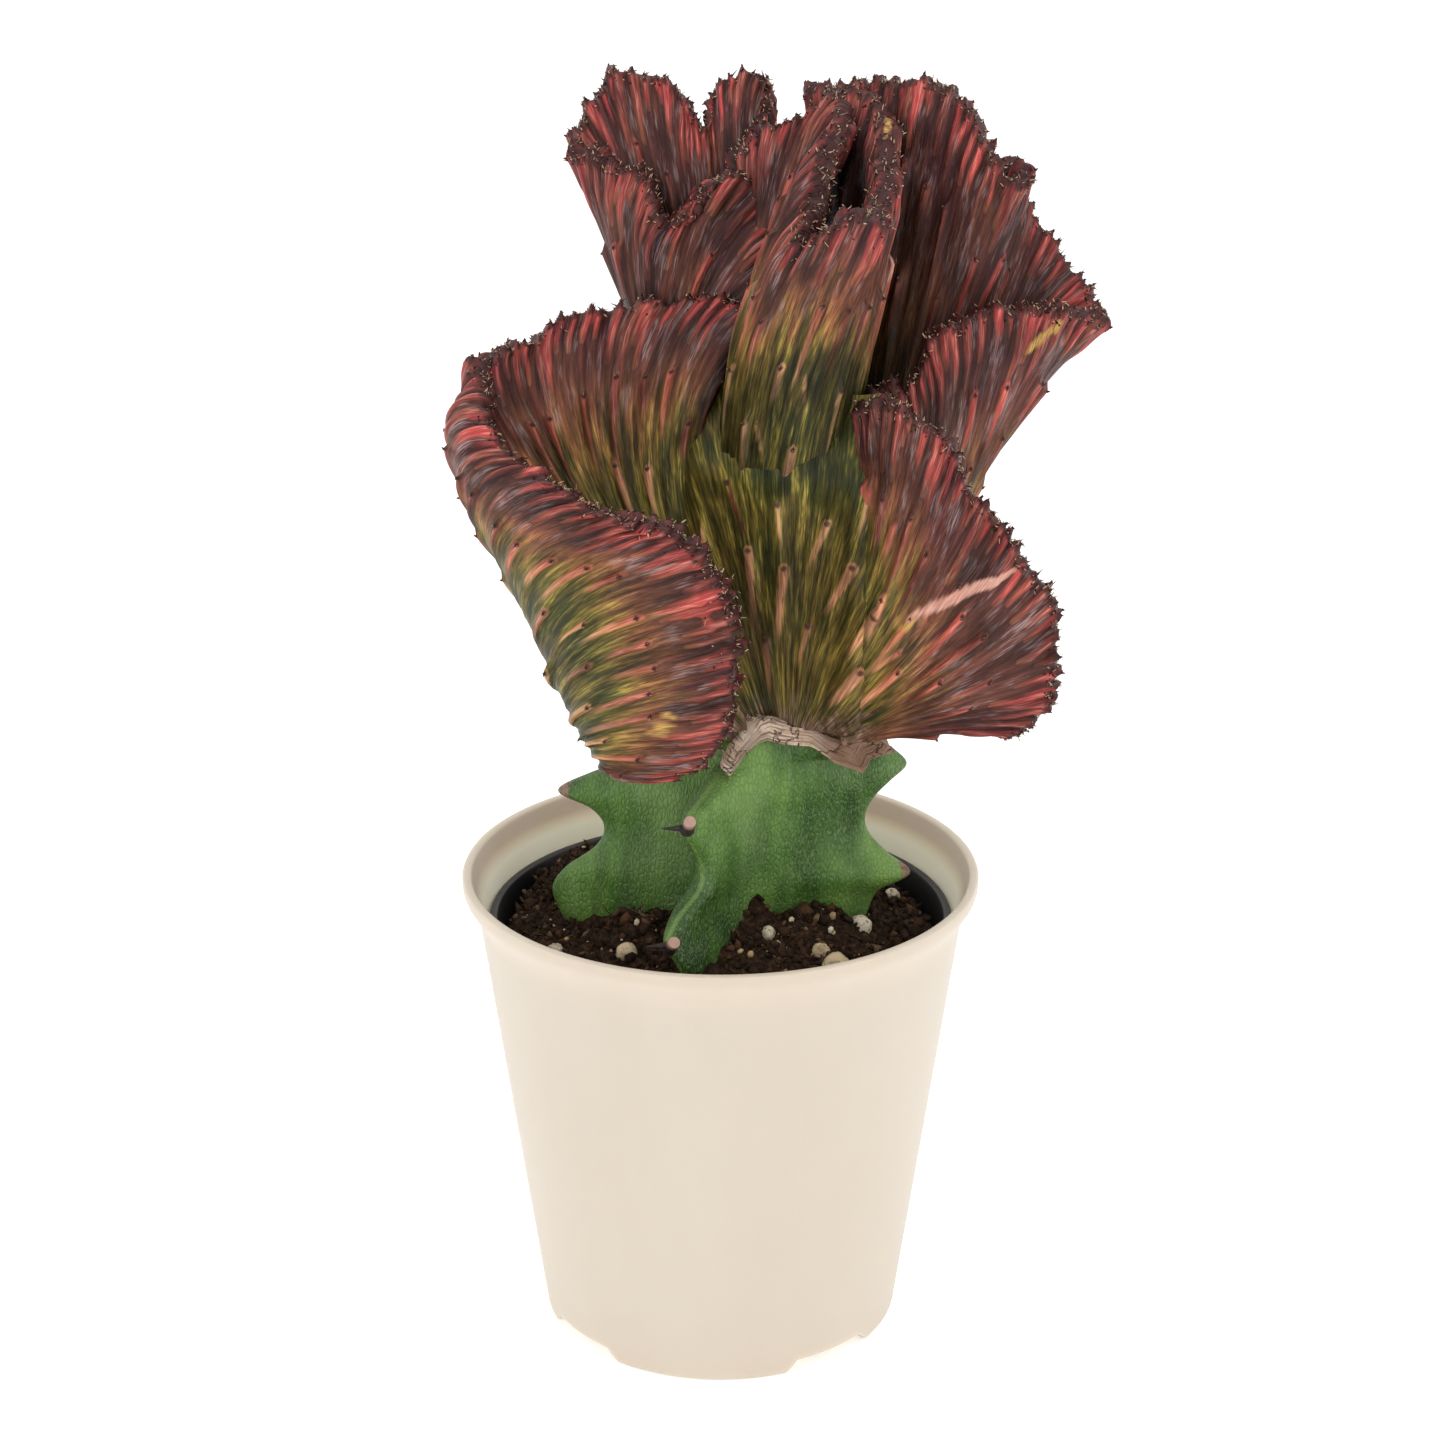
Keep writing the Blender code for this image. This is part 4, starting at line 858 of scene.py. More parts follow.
def dress_front(points, outward, measures):
    """Draw the listed ridges on the surfaces that are seen from the front."""
    x, z = points[:, :, 0], points[:, :, 2]
    seen = (points[:, :, 1] < RIDGES_BEFORE) & (outward[:, :, 1] < FACING)
    lift = np.zeros_like(x)
    for ends, half, dark in FRONT_RIDGES:
        long, down, across, beyond = measure_line(x, z, ends)
        share = np.clip(down / long, 0.0, 1.0)
        away = np.hypot(across, beyond) - half * (1.0 - 0.5 * share)
        closer = seen & (away < measures["shape"]) & (away < FAR_OFF - 1.0)
        for name, value in (("shape", away), ("fade", 1.0 - 0.95 * share), ("tone", dark + 0.0 * x)):
            measures[name][closer] = value[closer]
        measures["tip"][seen] = np.minimum(measures["tip"], np.hypot(across, down))[seen]
        swell = np.exp(-(np.hypot(across, 1.3 * beyond) / (SWELL_WIDTH * half)) ** 2)
        swell = swell * (1.0 - 0.7 * share) * min(1.0, half)
        lift = np.maximum(lift, swell * FRONT_RIDGE_HEIGHT * seen)
    return points + outward * lift[:, :, None]


def skin_object(name, skin, first, last):
    """Mesh of some columns of one face, with its measures."""
    part = slice(first, last + 1)
    points, outward, below = skin.points[part], skin.outward()[part], skin.below[part]
    columns, rows = below.shape
    item = mesh_object(name, points, grid_faces(columns, rows, flip=skin.side == 1))
    place = np.stack([np.repeat(skin.edge[part, None], rows, axis=1), below,
                      np.full_like(below, 40.0 * skin.side)], axis=2)
    # One of these mark masks is painted shade, which darkens the skin
    write_attributes(item, place=place, zone=below / skin.reach[part, None],
                     pale_mark=mark_mask(points, outward, PALE_MARKS),
                     tan_mark=mark_mask(points, outward, TAN_MARKS),
                     dark_mark=mark_mask(points, outward, SHADE_MARKS, SOFT_MARK),
                     **{key: values[part] for key, values in skin.measures.items()})
    unwrap(item, skin.climbed[part])
    return item


def front_depths(skins, x, z):
    """How far back the crest's nearest point lies at each place of a grid seen from the front."""
    depth = np.full((len(x), len(z)), np.inf)
    for skin in skins:
        body = skin.points[:, :BODY_ROWS]
        for share in np.linspace(0.0, 1.0, 6, endpoint=False):
            points = (body[:, :-1] * (1.0 - share) + body[:, 1:] * share).reshape(-1, 3)
            i = np.round((points[:, 0] - x[0]) / WEB_STEP).astype(int)
            k = np.round((points[:, 2] - z[0]) / WEB_STEP).astype(int)
            keep = (i >= 0) & (i < len(x)) & (k >= 0) & (k < len(z))
            keep &= (points[:, 0] > WEB_FREE[0]) | (points[:, 1] > WEB_FREE[1])
            np.minimum.at(depth, (i[keep], k[keep]), points[keep, 1])
    return np.minimum(depth, 2.0 * WEB_BEHIND)


def rolled(depth, sign):
    """Pass a ball along the grid, in front of the surface or behind it."""
    reach = int(WEB_BALL / WEB_STEP)
    padded = np.pad(depth, ((reach, reach), (0, 0)), mode="edge")
    moved = [padded[reach + shift:reach + shift + len(depth)]
             + sign * (shift * WEB_STEP) ** 2 / (2.0 * WEB_BALL) for shift in range(-reach, reach + 1)]
    return np.min(moved, axis=0) if sign > 0 else np.max(moved, axis=0)


def fold_tree(skins):
    """Search tree of the crest's folds, from every few columns and rows."""
    points, faces = [], []
    for skin in skins:
        coarse = skin.points[::SKY_STEP, ::4]
        faces.append(grid_faces(*coarse.shape[:2]) + sum(len(part) for part in points))
        points.append(coarse.reshape(-1, 3))
    return BVHTree.FromPolygons(np.concatenate(points).tolist(), np.concatenate(faces).tolist())


def open_sky(points, sign, tree):
    """How open each place of a grid lies, from 0 deep in a fold to 1 in the open, for the shade painted
    into the folds.
    """
    number = np.arange(SKY_RAYS) + 0.5
    height = 1.0 - 2.0 * number / SKY_RAYS
    turn = number * GOLDEN_ANGLE
    level = np.sqrt(1.0 - height ** 2)
    rays = np.stack([level * np.cos(turn), level * np.sin(turn), height], axis=1)
    ways = [Vector(ray) for ray in rays]
    wide, tall = points.shape[:2]
    columns = np.unique(np.linspace(0, wide - 1, wide // SKY_STEP + 2).astype(int))
    rows = np.unique(np.linspace(0, tall - 1, SKY_ROWS).astype(int))
    coarse = points[np.ix_(columns, rows)]
    outward = sign * grid_normals(coarse)
    facing = np.maximum(outward @ rays.T - 0.1, 0.0)
    seen = np.zeros(coarse.shape[:2])
    for index in np.ndindex(seen.shape):
        start = Vector(coarse[index] + SKY_START * outward[index])
        for ray in np.nonzero(facing[index])[0]:
            if tree.ray_cast(start, ways[ray], SKY_REACH)[0] is None:
                seen[index] += facing[index][ray]
    seen /= np.maximum(facing.sum(axis=2), 0.01)
    lines = np.stack([np.interp(np.arange(wide), columns, line) for line in seen.T], axis=1)
    return np.stack([np.interp(np.arange(tall), rows, line) for line in lines])


def trunk_web(skins, tree):
    """A smooth olive sheet that closes the clefts on both sides of the trunk."""
    along_x, along_z = np.arange(*WEB_X, WEB_STEP), np.arange(*WEB_Z, WEB_STEP)
    closed = rolled(rolled(front_depths(skins, along_x, along_z), 1.0), -1.0)
    closed = soften(soften(closed, WEB_SOFTENING[0]).T, WEB_SOFTENING[1]).T
    flat = np.zeros_like(closed)
    x, z = along_x[:, None] + flat, along_z + flat
    fibre = rough_noise(x * 0.35, z * 0.05, 3) - 0.5
    tuck = WEB_TUCK * sum(smooth_step(*ends, x) for ends in zip(WEB_TUCK_FROM, WEB_X))
    tuck = tuck + WEB_TUCK_TOP * smooth_step(WEB_TUCK_TOP_FROM, WEB_Z[1], z)
    y = closed - WEB_PROUD - WEB_FIBRE_DEPTH * fibre * smooth_step(*WEB_FIBRE_FADE, z) + tuck
    points = np.stack([x, y, z], axis=2)
    outward = grid_normals(points)
    measures = plain_measures(flat, 0.0)
    points = dress_front(points, outward, measures)
    faces = grid_faces(*closed.shape)
    kept = (closed.ravel()[faces] < WEB_BEHIND).all(axis=1)
    item = mesh_object("crest_trunk_web", points, faces[kept])
    fan_x, fan_z = x - WEB_FAN[0], z - WEB_FAN[1]
    place = np.stack([WEB_FAN_SPREAD * np.arctan2(fan_x, fan_z) + 500.0, 200.0 - np.hypot(fan_x, fan_z),
                      flat + 20.0], axis=2)
    # A share of the painted shade marks falls on the web too
    shadow = WEB_SHADOW * mark_mask(points, outward, SHADE_MARKS, SOFT_MARK)
    write_attributes(item, place=place, zone=1.6 + 0.6 * smooth_step(*WEB_GREENING, z),
                     squeeze=flat + 0.1, streak=fibre + 0.5, climbed=fan_z, pale_mark=flat,
                     tan_mark=flat, dark_mark=shadow, **measures,
                     sky=np.maximum(open_sky(points, 1.0, tree), WEB_LEAST_SKY))
    column, row = np.divmod(face_corners(item), len(along_z))
    lay_out(item, column / len(along_x), row / len(along_z))
    return item


def unwrap(item, climbed):
    """Lay the unrolled face out in strips, one above another."""
    columns, rows = climbed.shape
    per_strip = math.ceil((columns - 1) / UNWRAP_STRIPS)
    column, row = np.divmod(face_corners(item), rows)
    strip = np.repeat(column.reshape(-1, 4).min(axis=1), 4) // per_strip
    x = (column - strip * per_strip) / per_strip
    y = (strip + 0.01 + 0.98 * climbed[column, row] / climbed[:, -1].max()) / UNWRAP_STRIPS
    lay_out(item, 0.002 + 0.996 * x, y)


def slim_spines(name, feet, ways, bends, lengths, thicknesses, tones):
    """Many curved spines with three sides, as one mesh."""
    levels, sides = 3, 3
    points, tips = [], []
    for share in np.linspace(0.0, 1.0, levels):
        centre = feet + ways * (lengths * share)[:, None] + bends * (lengths * share**2)[:, None]
        radius = thicknesses * (1.0 - SPINE_TAPER * share)
        first = unit(np.cross(ways, bends + np.array((0.01, 0.02, 0.03))))
        second = np.cross(ways, first)
        for turn in np.arange(sides) * 2.0 * math.pi / sides:
            points.append(centre + (first * math.cos(turn) + second * math.sin(turn)) * radius[:, None])
            tips.append(share)
    corners = []
    for low in range(0, (levels - 1) * sides, sides):
        high = low + sides
        for corner in range(sides):
            following = (corner + 1) % sides
            corners.append((low + corner, low + following, high + following))
            corners.append((low + corner, high + following, high + corner))
    per_spine = levels * sides
    corners.append((per_spine - 3, per_spine - 2, per_spine - 1))
    base = np.arange(len(feet))[:, None, None] * per_spine
    item = mesh_object(name, np.stack(points, axis=1), (base + np.array(corners)[None]).reshape(-1, 3))
    write_attributes(item, tip=np.tile(tips, len(feet)), tone=np.repeat(tones, per_spine))
    return item


def spread(chance, count, least, more, power=1):
    """Random values from the least to so much more, mostly small if the power is high."""
    return least + more * chance.random(count) ** power


def rim_spines(skins, chance):
    """Curly spines crowded over the growing edge."""
    feet, ways = [], []
    for skin in skins:
        outward = skin.outward()
        count = RIM_SPINES // 2
        columns = chance.integers(3, FINE_COLUMNS - 3, count)
        rows = spread(chance, count, BODY_ROWS - 3, CAP_ROWS + 2, 0.7).astype(int)
        rise = unit(skin.points[:, -1] - skin.points[:, BODY_ROWS - 3])
        feet.append(skin.points[columns, rows])
        ways.append(0.55 * outward[columns, rows] + 0.75 * rise[columns])
    feet, ways = np.concatenate(feet), np.concatenate(ways)
    count = len(feet)
    ways = unit(ways + 0.55 * chance.normal(size=(count, 3)))
    bends = np.cross(ways, chance.normal(size=(count, 3))) * 0.6
    lengths = spread(chance, count, *RIM_SPINE_LENGTH, 1.6)
    thicknesses = spread(chance, count, *RIM_SPINE_THICKNESS)
    return slim_spines("crest_rim_spines", feet - ways * 0.3, ways, bends, lengths, thicknesses,
                       chance.random(count))


def tubercle_tips(skins, placed, chance):
    """A dark stub and a short pale spine at the tip of every tubercle."""
    feet, ways = [], []
    for skin, spots in zip(skins, placed):
        outward = skin.outward()
        along = unit(np.gradient(skin.points, axis=1))
        for column, top, _, _ in spots:
            row = skin.row_at(column, top - 0.4)
            feet.append(skin.points[column, row])
            ways.append(0.8 * outward[column, row] + 0.6 * along[column, row])
    feet, ways = np.array(feet), unit(np.array(ways))
    count = len(feet)
    stubs = ways + 0.15 * chance.normal(size=(count, 3))
    thins = ways + 0.5 * chance.normal(size=(count, 3))
    ways = unit(np.concatenate([stubs, thins]))
    feet = np.concatenate([feet, feet])
    lengths, thick, tones = (
        np.concatenate([spread(chance, count, *stub), spread(chance, count, *thin)])
        for stub, thin in TIP_SPINES)
    bends = np.cross(ways, chance.normal(size=(2 * count, 3))) * 0.3
    return slim_spines("crest_tubercle_tips", feet - ways * 0.25, ways, bends, lengths, thick, tones)


def build_crest():
    """The crest's two faces, the web before its trunk, and its spines."""
    front_points, back_points, reach, edge_length = crest_sides()
    skins = [Skin(front_points, reach, edge_length, 0), Skin(back_points, reach, edge_length, 1)]
    front, back = skins
    draw = random.Random(RELIEF_SEED)
    ribs = rib_columns(edge_length, draw)
    placed = [place_tubercles(skin, ribs, draw) for skin in skins]
    for skin, spots in zip(skins, placed):
        dress_skin(skin, spots, draw)
    ruffle_rim(front, back, ribs)
    front.points[:, -1] = back.points[:, -1] = 0.5 * (front.points[:, -1] + back.points[:, -1])
    tree = fold_tree(skins)
    faces = []
    stops = np.linspace(0, FINE_COLUMNS - 1, HALVES + 1).astype(int)
    for side, skin, sign in (("front", front, 1.0), ("back", back, -1.0)):
        # How open each place lies, for the painted shade in the folds
        skin.measures["sky"] = open_sky(skin.points, sign, tree)
        for number in range(HALVES):
            name = "crest_%s_face_%d" % (side, number + 1)
            faces.append(skin_object(name, skin, stops[number], stops[number + 1]))
    faces.append(trunk_web(skins, tree))
    chance = np.random.default_rng(SPINE_SEED)
    return faces, rim_spines(skins, chance), tubercle_tips(skins, placed, chance)


# Turned pots
def apply_modifiers(item):
    """Replace the object's mesh by its evaluated one."""
    graph = bpy.context.evaluated_depsgraph_get()
    graph.update()
    mesh = bpy.data.meshes.new_from_object(item.evaluated_get(graph))
    old = item.data
    item.modifiers.clear()
    item.data = mesh
    bpy.data.meshes.remove(old)
    mesh.name = item.name


def bmesh_object(name, shape):
    """Make an object from a bmesh in metres, and free the bmesh."""
    mesh = bpy.data.meshes.new(name)
    shape.to_mesh(mesh)
    shape.free()
    return link_object(name, mesh)


def turned(name, profile):
    """Turn a profile of radius and height about the vertical axis."""
    mesh = bpy.data.meshes.new(name)
    edges = [(i, i + 1) for i in range(len(profile) - 1)]
    mesh.from_pydata([(r * MM, 0.0, z * MM) for r, z in profile], edges, [])
    item = link_object(name, mesh)
    screw = item.modifiers.new("turn", "SCREW")
    screw.steps = screw.render_steps = POT_SEGMENTS
    screw.use_merge_vertices = True
    screw.merge_threshold = 0.00001
    apply_modifiers(item)
    return item


def cut(body, cutter):
    """Take the cutter away from the body, and remove the cutter."""
    difference = body.modifiers.new("cut", "BOOLEAN")
    difference.operation = "DIFFERENCE"
    difference.object = cutter
    difference.solver = "EXACT"
    apply_modifiers(body)
    bpy.data.objects.remove(cutter, do_unlink=True)


def around(radius, degrees):
    """Place at a radius, by the angle from the front of the pot."""
    turn = math.radians(degrees)
    return radius * math.sin(turn), -radius * math.cos(turn)


def upright_cylinder(x, y, radius, low, high):
    """A cylinder between two heights, to cut with."""
    shape = bmesh.new()
    bmesh.ops.create_cone(shape, cap_ends=True, segments=DRAIN_SIDES, radius1=radius * MM,
                          radius2=radius * MM, depth=(high - low) * MM)
    bmesh.ops.translate(shape, verts=shape.verts, vec=(x * MM, y * MM, 0.5 * (high + low) * MM))
    return bmesh_object("drain", shape)


def foot_notch(degrees):
    """A wedge with sloped ends that lifts the foot off the ground."""
    inner, outer = POT_FOOT_RADIUS - FOOT_NOTCH_DEPTH, POT_FOOT_RADIUS + 6.0
    corners = []
    for height, wider in ((-2.0, 3.0), (FOOT_NOTCH_HEIGHT, -3.0)):
        half = FOOT_NOTCH_HALF_ANGLE + wider
        for radius, side in ((inner, -half), (outer, -half), (outer, half), (inner, half)):
            corners.append((*around(radius, degrees + side), height))
    faces = [(3, 2, 1, 0), (4, 5, 6, 7), (0, 1, 5, 4), (1, 2, 6, 5), (2, 3, 7, 6), (3, 0, 4, 7)]
    return mesh_object("foot_notch", corners, faces, smooth=False)


def shade(item, degrees):
    """Shade the object smooth apart from its sharp edges."""
    item.data.shade_smooth()
    item.data.set_sharp_from_angle(angle=math.radians(degrees))


def outer_pot():
    """Cream pot with a flared lip, a flat base and four notches in its foot."""
    slope = (POT_WALL_TOP_RADIUS - POT_FOOT_RADIUS) / POT_WALL_TOP_HEIGHT
    inner_foot = POT_FOOT_RADIUS + slope * POT_FLOOR - POT_WALL
    inner_top = POT_WALL_TOP_RADIUS - POT_WALL
    pot = turned("cream_pot", [
        (0.0, POT_FLOOR), (inner_foot - 2.0, POT_FLOOR), (inner_foot, POT_FLOOR + 2.0),
        (inner_top, POT_WALL_TOP_HEIGHT), (inner_top + 0.7, POT_WALL_TOP_HEIGHT + 4.0),
        *((POT_RIM_RADIUS + out, POT_HEIGHT + up) for out, up in POT_LIP),
        (POT_WALL_TOP_RADIUS, POT_WALL_TOP_HEIGHT),
        *((POT_FOOT_RADIUS + out, up) for out, up in ((0.1, 1.2), (-0.1, 0.5), (-0.6, 0.0))),
        (0.0, 0.0)])
    for degrees in FOOT_NOTCH_ANGLES:
        cut(pot, foot_notch(degrees))
        x, y = around(POT_FOOT_RADIUS - 0.6 * FOOT_NOTCH_DEPTH, degrees)
        cut(pot, upright_cylinder(x, y, DRAIN_RADIUS, 1.0, POT_FLOOR + 1.0))
    # Points on the inner wall, which the material makes paler with painted light
    inside = []
    for vertex in pot.data.vertices:
        x, y, z = (number / MM for number in vertex.co)
        wall = POT_FOOT_RADIUS + slope * z - 0.5 * POT_WALL
        inside.append(1.0 if math.hypot(x, y) < max(wall, 0.0) and z < POT_HEIGHT - 0.5 else 0.0)
    write_attributes(pot, inside=inside)
    shade(pot, POT_SMOOTH_ANGLE)
    return pot


def nursery_pot():
    """Thin black pot that the plant grows in, standing on the outer pot's floor."""
    low = POT_FLOOR + GAP
    outer, inner = NURSERY_RIM_RADIUS, NURSERY_RIM_RADIUS - NURSERY_RIM_WIDTH
    wall_radius, wall_top = outer - 1.5, NURSERY_RIM_HEIGHT - 4.5
    rim = ((inner, -0.7), (inner + 0.3, -0.2), (inner + 0.8, 0.0), (outer - 0.8, 0.0),
           (outer - 0.2, -0.3), (outer, -0.9), (outer - 0.3, -3.5))
    pot = turned("black_liner", [
        (0.0, low + NURSERY_FLOOR), (NURSERY_FOOT_RADIUS - NURSERY_WALL, low + NURSERY_FLOOR),
        (wall_radius - NURSERY_WALL, wall_top),
        *((radius, NURSERY_RIM_HEIGHT + up) for radius, up in rim), (wall_radius, wall_top),
        (NURSERY_FOOT_RADIUS, low + 0.6), (NURSERY_FOOT_RADIUS - 0.6, low), (0.0, low)])
    shade(pot, POT_SMOOTH_ANGLE)
    return pot


# Soil
def soil_height(x, y):
    """Height of the lumpy soil, heaped up against the rootstock."""
    mound = SOIL_MOUND * np.maximum(0.0, 1.0 - np.hypot(x, y) / 60.0)
    waves = (np.sin(0.31 * x + 1.3) * np.cos(0.27 * y - 0.4)
             + 0.7 * np.sin(0.63 * y + 0.41 * x) + 0.4 * np.cos(0.9 * x - 0.7 * y))
    for (middle_x, middle_y), high, radius in HEAPS:
        mound = mound + high * np.exp(-((x - middle_x) ** 2 + (y - middle_y) ** 2) / radius**2)
    return SOIL_LEVEL + mound + SOIL_LUMP * waves


def crumbly(x, y):
    """Height of the soil with its crumbs and pores."""
    crumbs = rough_noise(x * 0.28, y * 0.28, 5) - 0.5
    fine = np.abs(lattice_noise(x * 0.9 + 40, y * 0.9) - 0.5)
    return soil_height(x, y) + SOIL_CRUMB_HEIGHT * crumbs + SOIL_PORE_DEPTH * fine


def soil_top():
    """The soil's uneven surface, drawn down at its edge."""
    radius = SOIL_EDGE_RADIUS * np.linspace(1.0, 0.01, SOIL_RINGS) ** 0.8
    turn = np.linspace(0.0, 2.0 * math.pi, SOIL_SECTORS, endpoint=False)
    x = radius[None, :] * np.cos(turn)[:, None]
    y = radius[None, :] * np.sin(turn)[:, None]
    z = crumbly(x, y)
    inner = SOIL_EDGE_RADIUS - SOIL_EDGE_WIDTH
    z -= SOIL_EDGE_DROP * smooth_step(inner, SOIL_EDGE_RADIUS, radius)[None, :]
    z[:, 0] = SOIL_LEVEL - 6.0
    points = np.stack([x, y, z], axis=2)
    return mesh_object("soil_surface", points, grid_faces(SOIL_SECTORS, SOIL_RINGS, closed=True))


def lumps(name, places, sizes, tones, chance, subdivisions=1, stretch=0.35):
    """Many irregular lumps as one mesh."""
    shape = bmesh.new()
    bmesh.ops.create_icosphere(shape, subdivisions=subdivisions, radius=1.0)
    ball = np.array([vertex.co for vertex in shape.verts])
    corners = np.array([[vertex.index for vertex in face.verts] for face in shape.faces])
    shape.free()
    count = len(places)
    swell = 1.0 + stretch * (chance.random((count, len(ball))) - 0.5)
    axes = 1.0 + stretch * 1.6 * (chance.random((count, 1, 3)) - 0.5)
    spin = np.linalg.qr(chance.normal(size=(count, 3, 3)))[0]
    spin *= np.linalg.det(spin)[:, None, None]
    points = ball[None] * swell[:, :, None] * axes * sizes[:, None, None]
    points = np.einsum("nij,nkj->nki", spin, points) + places[:, None]
    faces = (np.arange(count)[:, None, None] * len(ball) + corners[None]).reshape(-1, 3)
    item = mesh_object(name, points, faces)
    write_attributes(item, tone=np.repeat(tones, len(ball)))
    return item


def on_soil(count, margin, chance):
    """Even random places on the soil, away from its edge and from the rootstock."""
    distance = (SOIL_EDGE_RADIUS - margin) * np.sqrt(chance.random(count))
    turn = 2.0 * math.pi * chance.random(count)
    x, y = distance * np.cos(turn), distance * np.sin(turn)
    left, right, front, back = STOCK_BAR
    bar = (x > left) & (x < right) & (y > front) & (y < back)
    root, lean, half, tip = STOCK_SPUR
    spur = (np.abs(x - root + lean * y) < half) & (y < 0.0) & (y > tip)
    clear = ~(bar | spur)
    return x[clear], y[clear]


def strewn(name, chance, count, margin, least, more, power, raised, stretch):
    """Lumps strewn over the soil, from the least size to so much more, most of them small."""
    x, y = on_soil(count, margin, chance)
    sizes = spread(chance, len(x), least, more, power)
    places = np.stack([x, y, crumbly(x, y) + raised * sizes], axis=1)
    return lumps(name, places, sizes, chance.random(len(x)), chance, stretch=stretch)


def big_perlite(chance):
    """The twelve grains of the CAD, with rough faces."""
    pieces = []
    for index, (x, y, radius) in enumerate(GRAINS):
        middle = np.array([[x, y, soil_height(x, y) + GRAIN_SINK * radius]])
        pieces.append(lumps("perlite_grain_%02d" % (index + 1), middle, np.array([0.95 * radius]),
                            np.array([chance.random()]), chance, subdivisions=3, stretch=0.16))
    return pieces


def soil_fibres(chance):
    """Thin roots and fibres lying on the soil."""
    x, y = on_soil(SOIL_FIBRES, 4.0, chance)
    count = len(x)
    feet = np.stack([x, y, crumbly(x, y) + 0.5], axis=1)
    turn = 2.0 * math.pi * chance.random(count)
    ways = np.stack([np.cos(turn), np.sin(turn), 0.35 * (chance.random(count) - 0.3)], axis=1)
    bends = 0.7 * chance.normal(size=(count, 3)) * np.array((1.0, 1.0, 0.2))
    item = slim_spines("soil_fibres", feet, unit(ways), bends, spread(chance, count, 2.0, 5.0),
                       spread(chance, count, 0.14, 0.16), chance.random(count))
    draw_in(item, (SOIL_EDGE_RADIUS - 1.0) * MM)
    return item


def draw_in(item, radius):
    """Draw in what would reach past a radius about the axis of the pot."""
    points = np.empty(3 * len(item.data.vertices))
    item.data.vertices.foreach_get("co", points)
    points = points.reshape(-1, 3)
    excess = np.maximum(np.hypot(points[:, 0], points[:, 1]) / radius, 1.0)
    points[:, :2] /= excess[:, None]
    item.data.vertices.foreach_set("co", points.ravel())


# Rootstock
def closed_curve(points, samples):
    """A smooth closed curve through the points."""
    points = np.asarray(points, float)
    before, after, later = (np.roll(points, shift, axis=0) for shift in (1, -1, -2))
    t = np.linspace(0.0, 1.0, samples, endpoint=False)[None, :, None]
    leave, arrive = 0.4 * (after - before), 0.4 * (later - points)
    return hermite(t, points[:, None], after[:, None], leave[:, None], arrive[:, None]).reshape(-1, 2)


def stock_section(height, left, right, front, share):
    """Section of the rootstock at one height: three wings and the valleys between."""
    valleys = np.array(VALLEYS_LOW) * (1.0 - share) + np.array(VALLEYS_TOP) * share
    if height < SOIL_LEVEL:
        sink = (SOIL_LEVEL - height) / (SOIL_LEVEL - STOCK_FOOT)
        valleys = valleys + 0.35 * sink * (np.array((8.0, -2.0)) - valleys)
    back, left_front, right_front = valleys
    aside = np.array((0.8, -0.6)) * WING_HALF
    front = front + np.array((0.4, 0.9)) * WING_SWING
    left, right = (left[0] + WING_SWING, left[1]), (right[0] - WING_SWING, right[1])
    return closed_curve([
        (right[0], right[1] - WING_HALF), (right[0], right[1] + WING_HALF), back,
        (left[0], left[1] + WING_HALF), (left[0], left[1] - WING_HALF), left_front,
        front - aside, front + aside, right_front], STOCK_SAMPLES)


def stock_surface():
    """Rings of points of the rootstock and of its neck, as a grid."""
    knots = [level[0] for level in STOCK_LEVELS]
    heights = np.linspace(STOCK_SHOWN_FROM, knots[-1], STOCK_ROWS - len(NECK_LEVELS))
    stock, neck = ([(*left, *right, *front, share) for _, left, right, front, share in levels]
                   for levels in (STOCK_LEVELS, NECK_LEVELS))
    rows = np.concatenate([through(knots, stock, heights), neck])
    heights = np.concatenate([heights, [level[0] for level in NECK_LEVELS]])
    rings = []
    for height, row in zip(heights, rows):
        ring = stock_section(height, row[0:2], row[2:4], row[4:6], np.clip(row[6], 0.0, 1.0))
        rings.append(np.column_stack([ring, np.full(len(ring), height)]))
    return np.array(rings).transpose(1, 0, 2)


def tip_closeness(count):
    """How close each point of a section lies to its right, left and front tip."""
    place = np.arange(count)[:, None] / STOCK_SAMPLES
    closeness = []
    for tip in WING_TIPS:
        away = np.abs(place - tip)
        away = np.minimum(away, SECTION_POINTS - away)
        closeness.append(np.exp(-(away / WING_TIP_REACH) ** 2))
    return closeness


def dry_places(x, high, left, right):
    """1 on two brown wing tips and on the right of the stock's top, and 0 on green skin."""
    return np.maximum.reduce([
        left * smooth_step(-42.5, -45.0, x) * smooth_step(160.0, 164.0, high),
        right * smooth_step(51.5, 53.0, x) * smooth_step(138.0, 141.0, high)
        * smooth_step(149.0, 145.0, high),
        smooth_step(178.6, 179.4, high) * smooth_step(38.0, 41.0, x),
    ])


def rootstock():
    """The green three-winged stock, with its brown wing tips marked for the material."""
    points = stock_surface()
    count = len(points)
    right, left, front = tip_closeness(count)
    x, y, high = np.moveaxis(points, 2, 0)
    dry = dry_places(x, high, left, right)
    bulge = 1.2 * (rough_noise(x * 0.07 + y * 0.05, high * 0.06, 2) - 0.5)
    bulge = bulge * (1.0 - np.maximum(left, right))
    points = points + grid_normals(points) * bulge[:, :, None]
    item = mesh_object("green_rootstock", points, grid_faces(count, STOCK_ROWS, closed=True))
    for index in (0, STOCK_ROWS - 1):
        ring = [int(i) for i in np.arange(count) * STOCK_ROWS + index]
        cap(item, ring if index else ring[::-1])
    write_attributes(item, dry=dry, crestline=front * smooth_step(181.0, 176.0, high))
    return item


def cap(item, ring):
    """Close a ring of the mesh with one face."""
    shape = bmesh.new()
    shape.from_mesh(item.data)
    shape.verts.ensure_lookup_table()
    shape.faces.new([shape.verts[i] for i in ring])
    shape.to_mesh(item.data)
    shape.free()


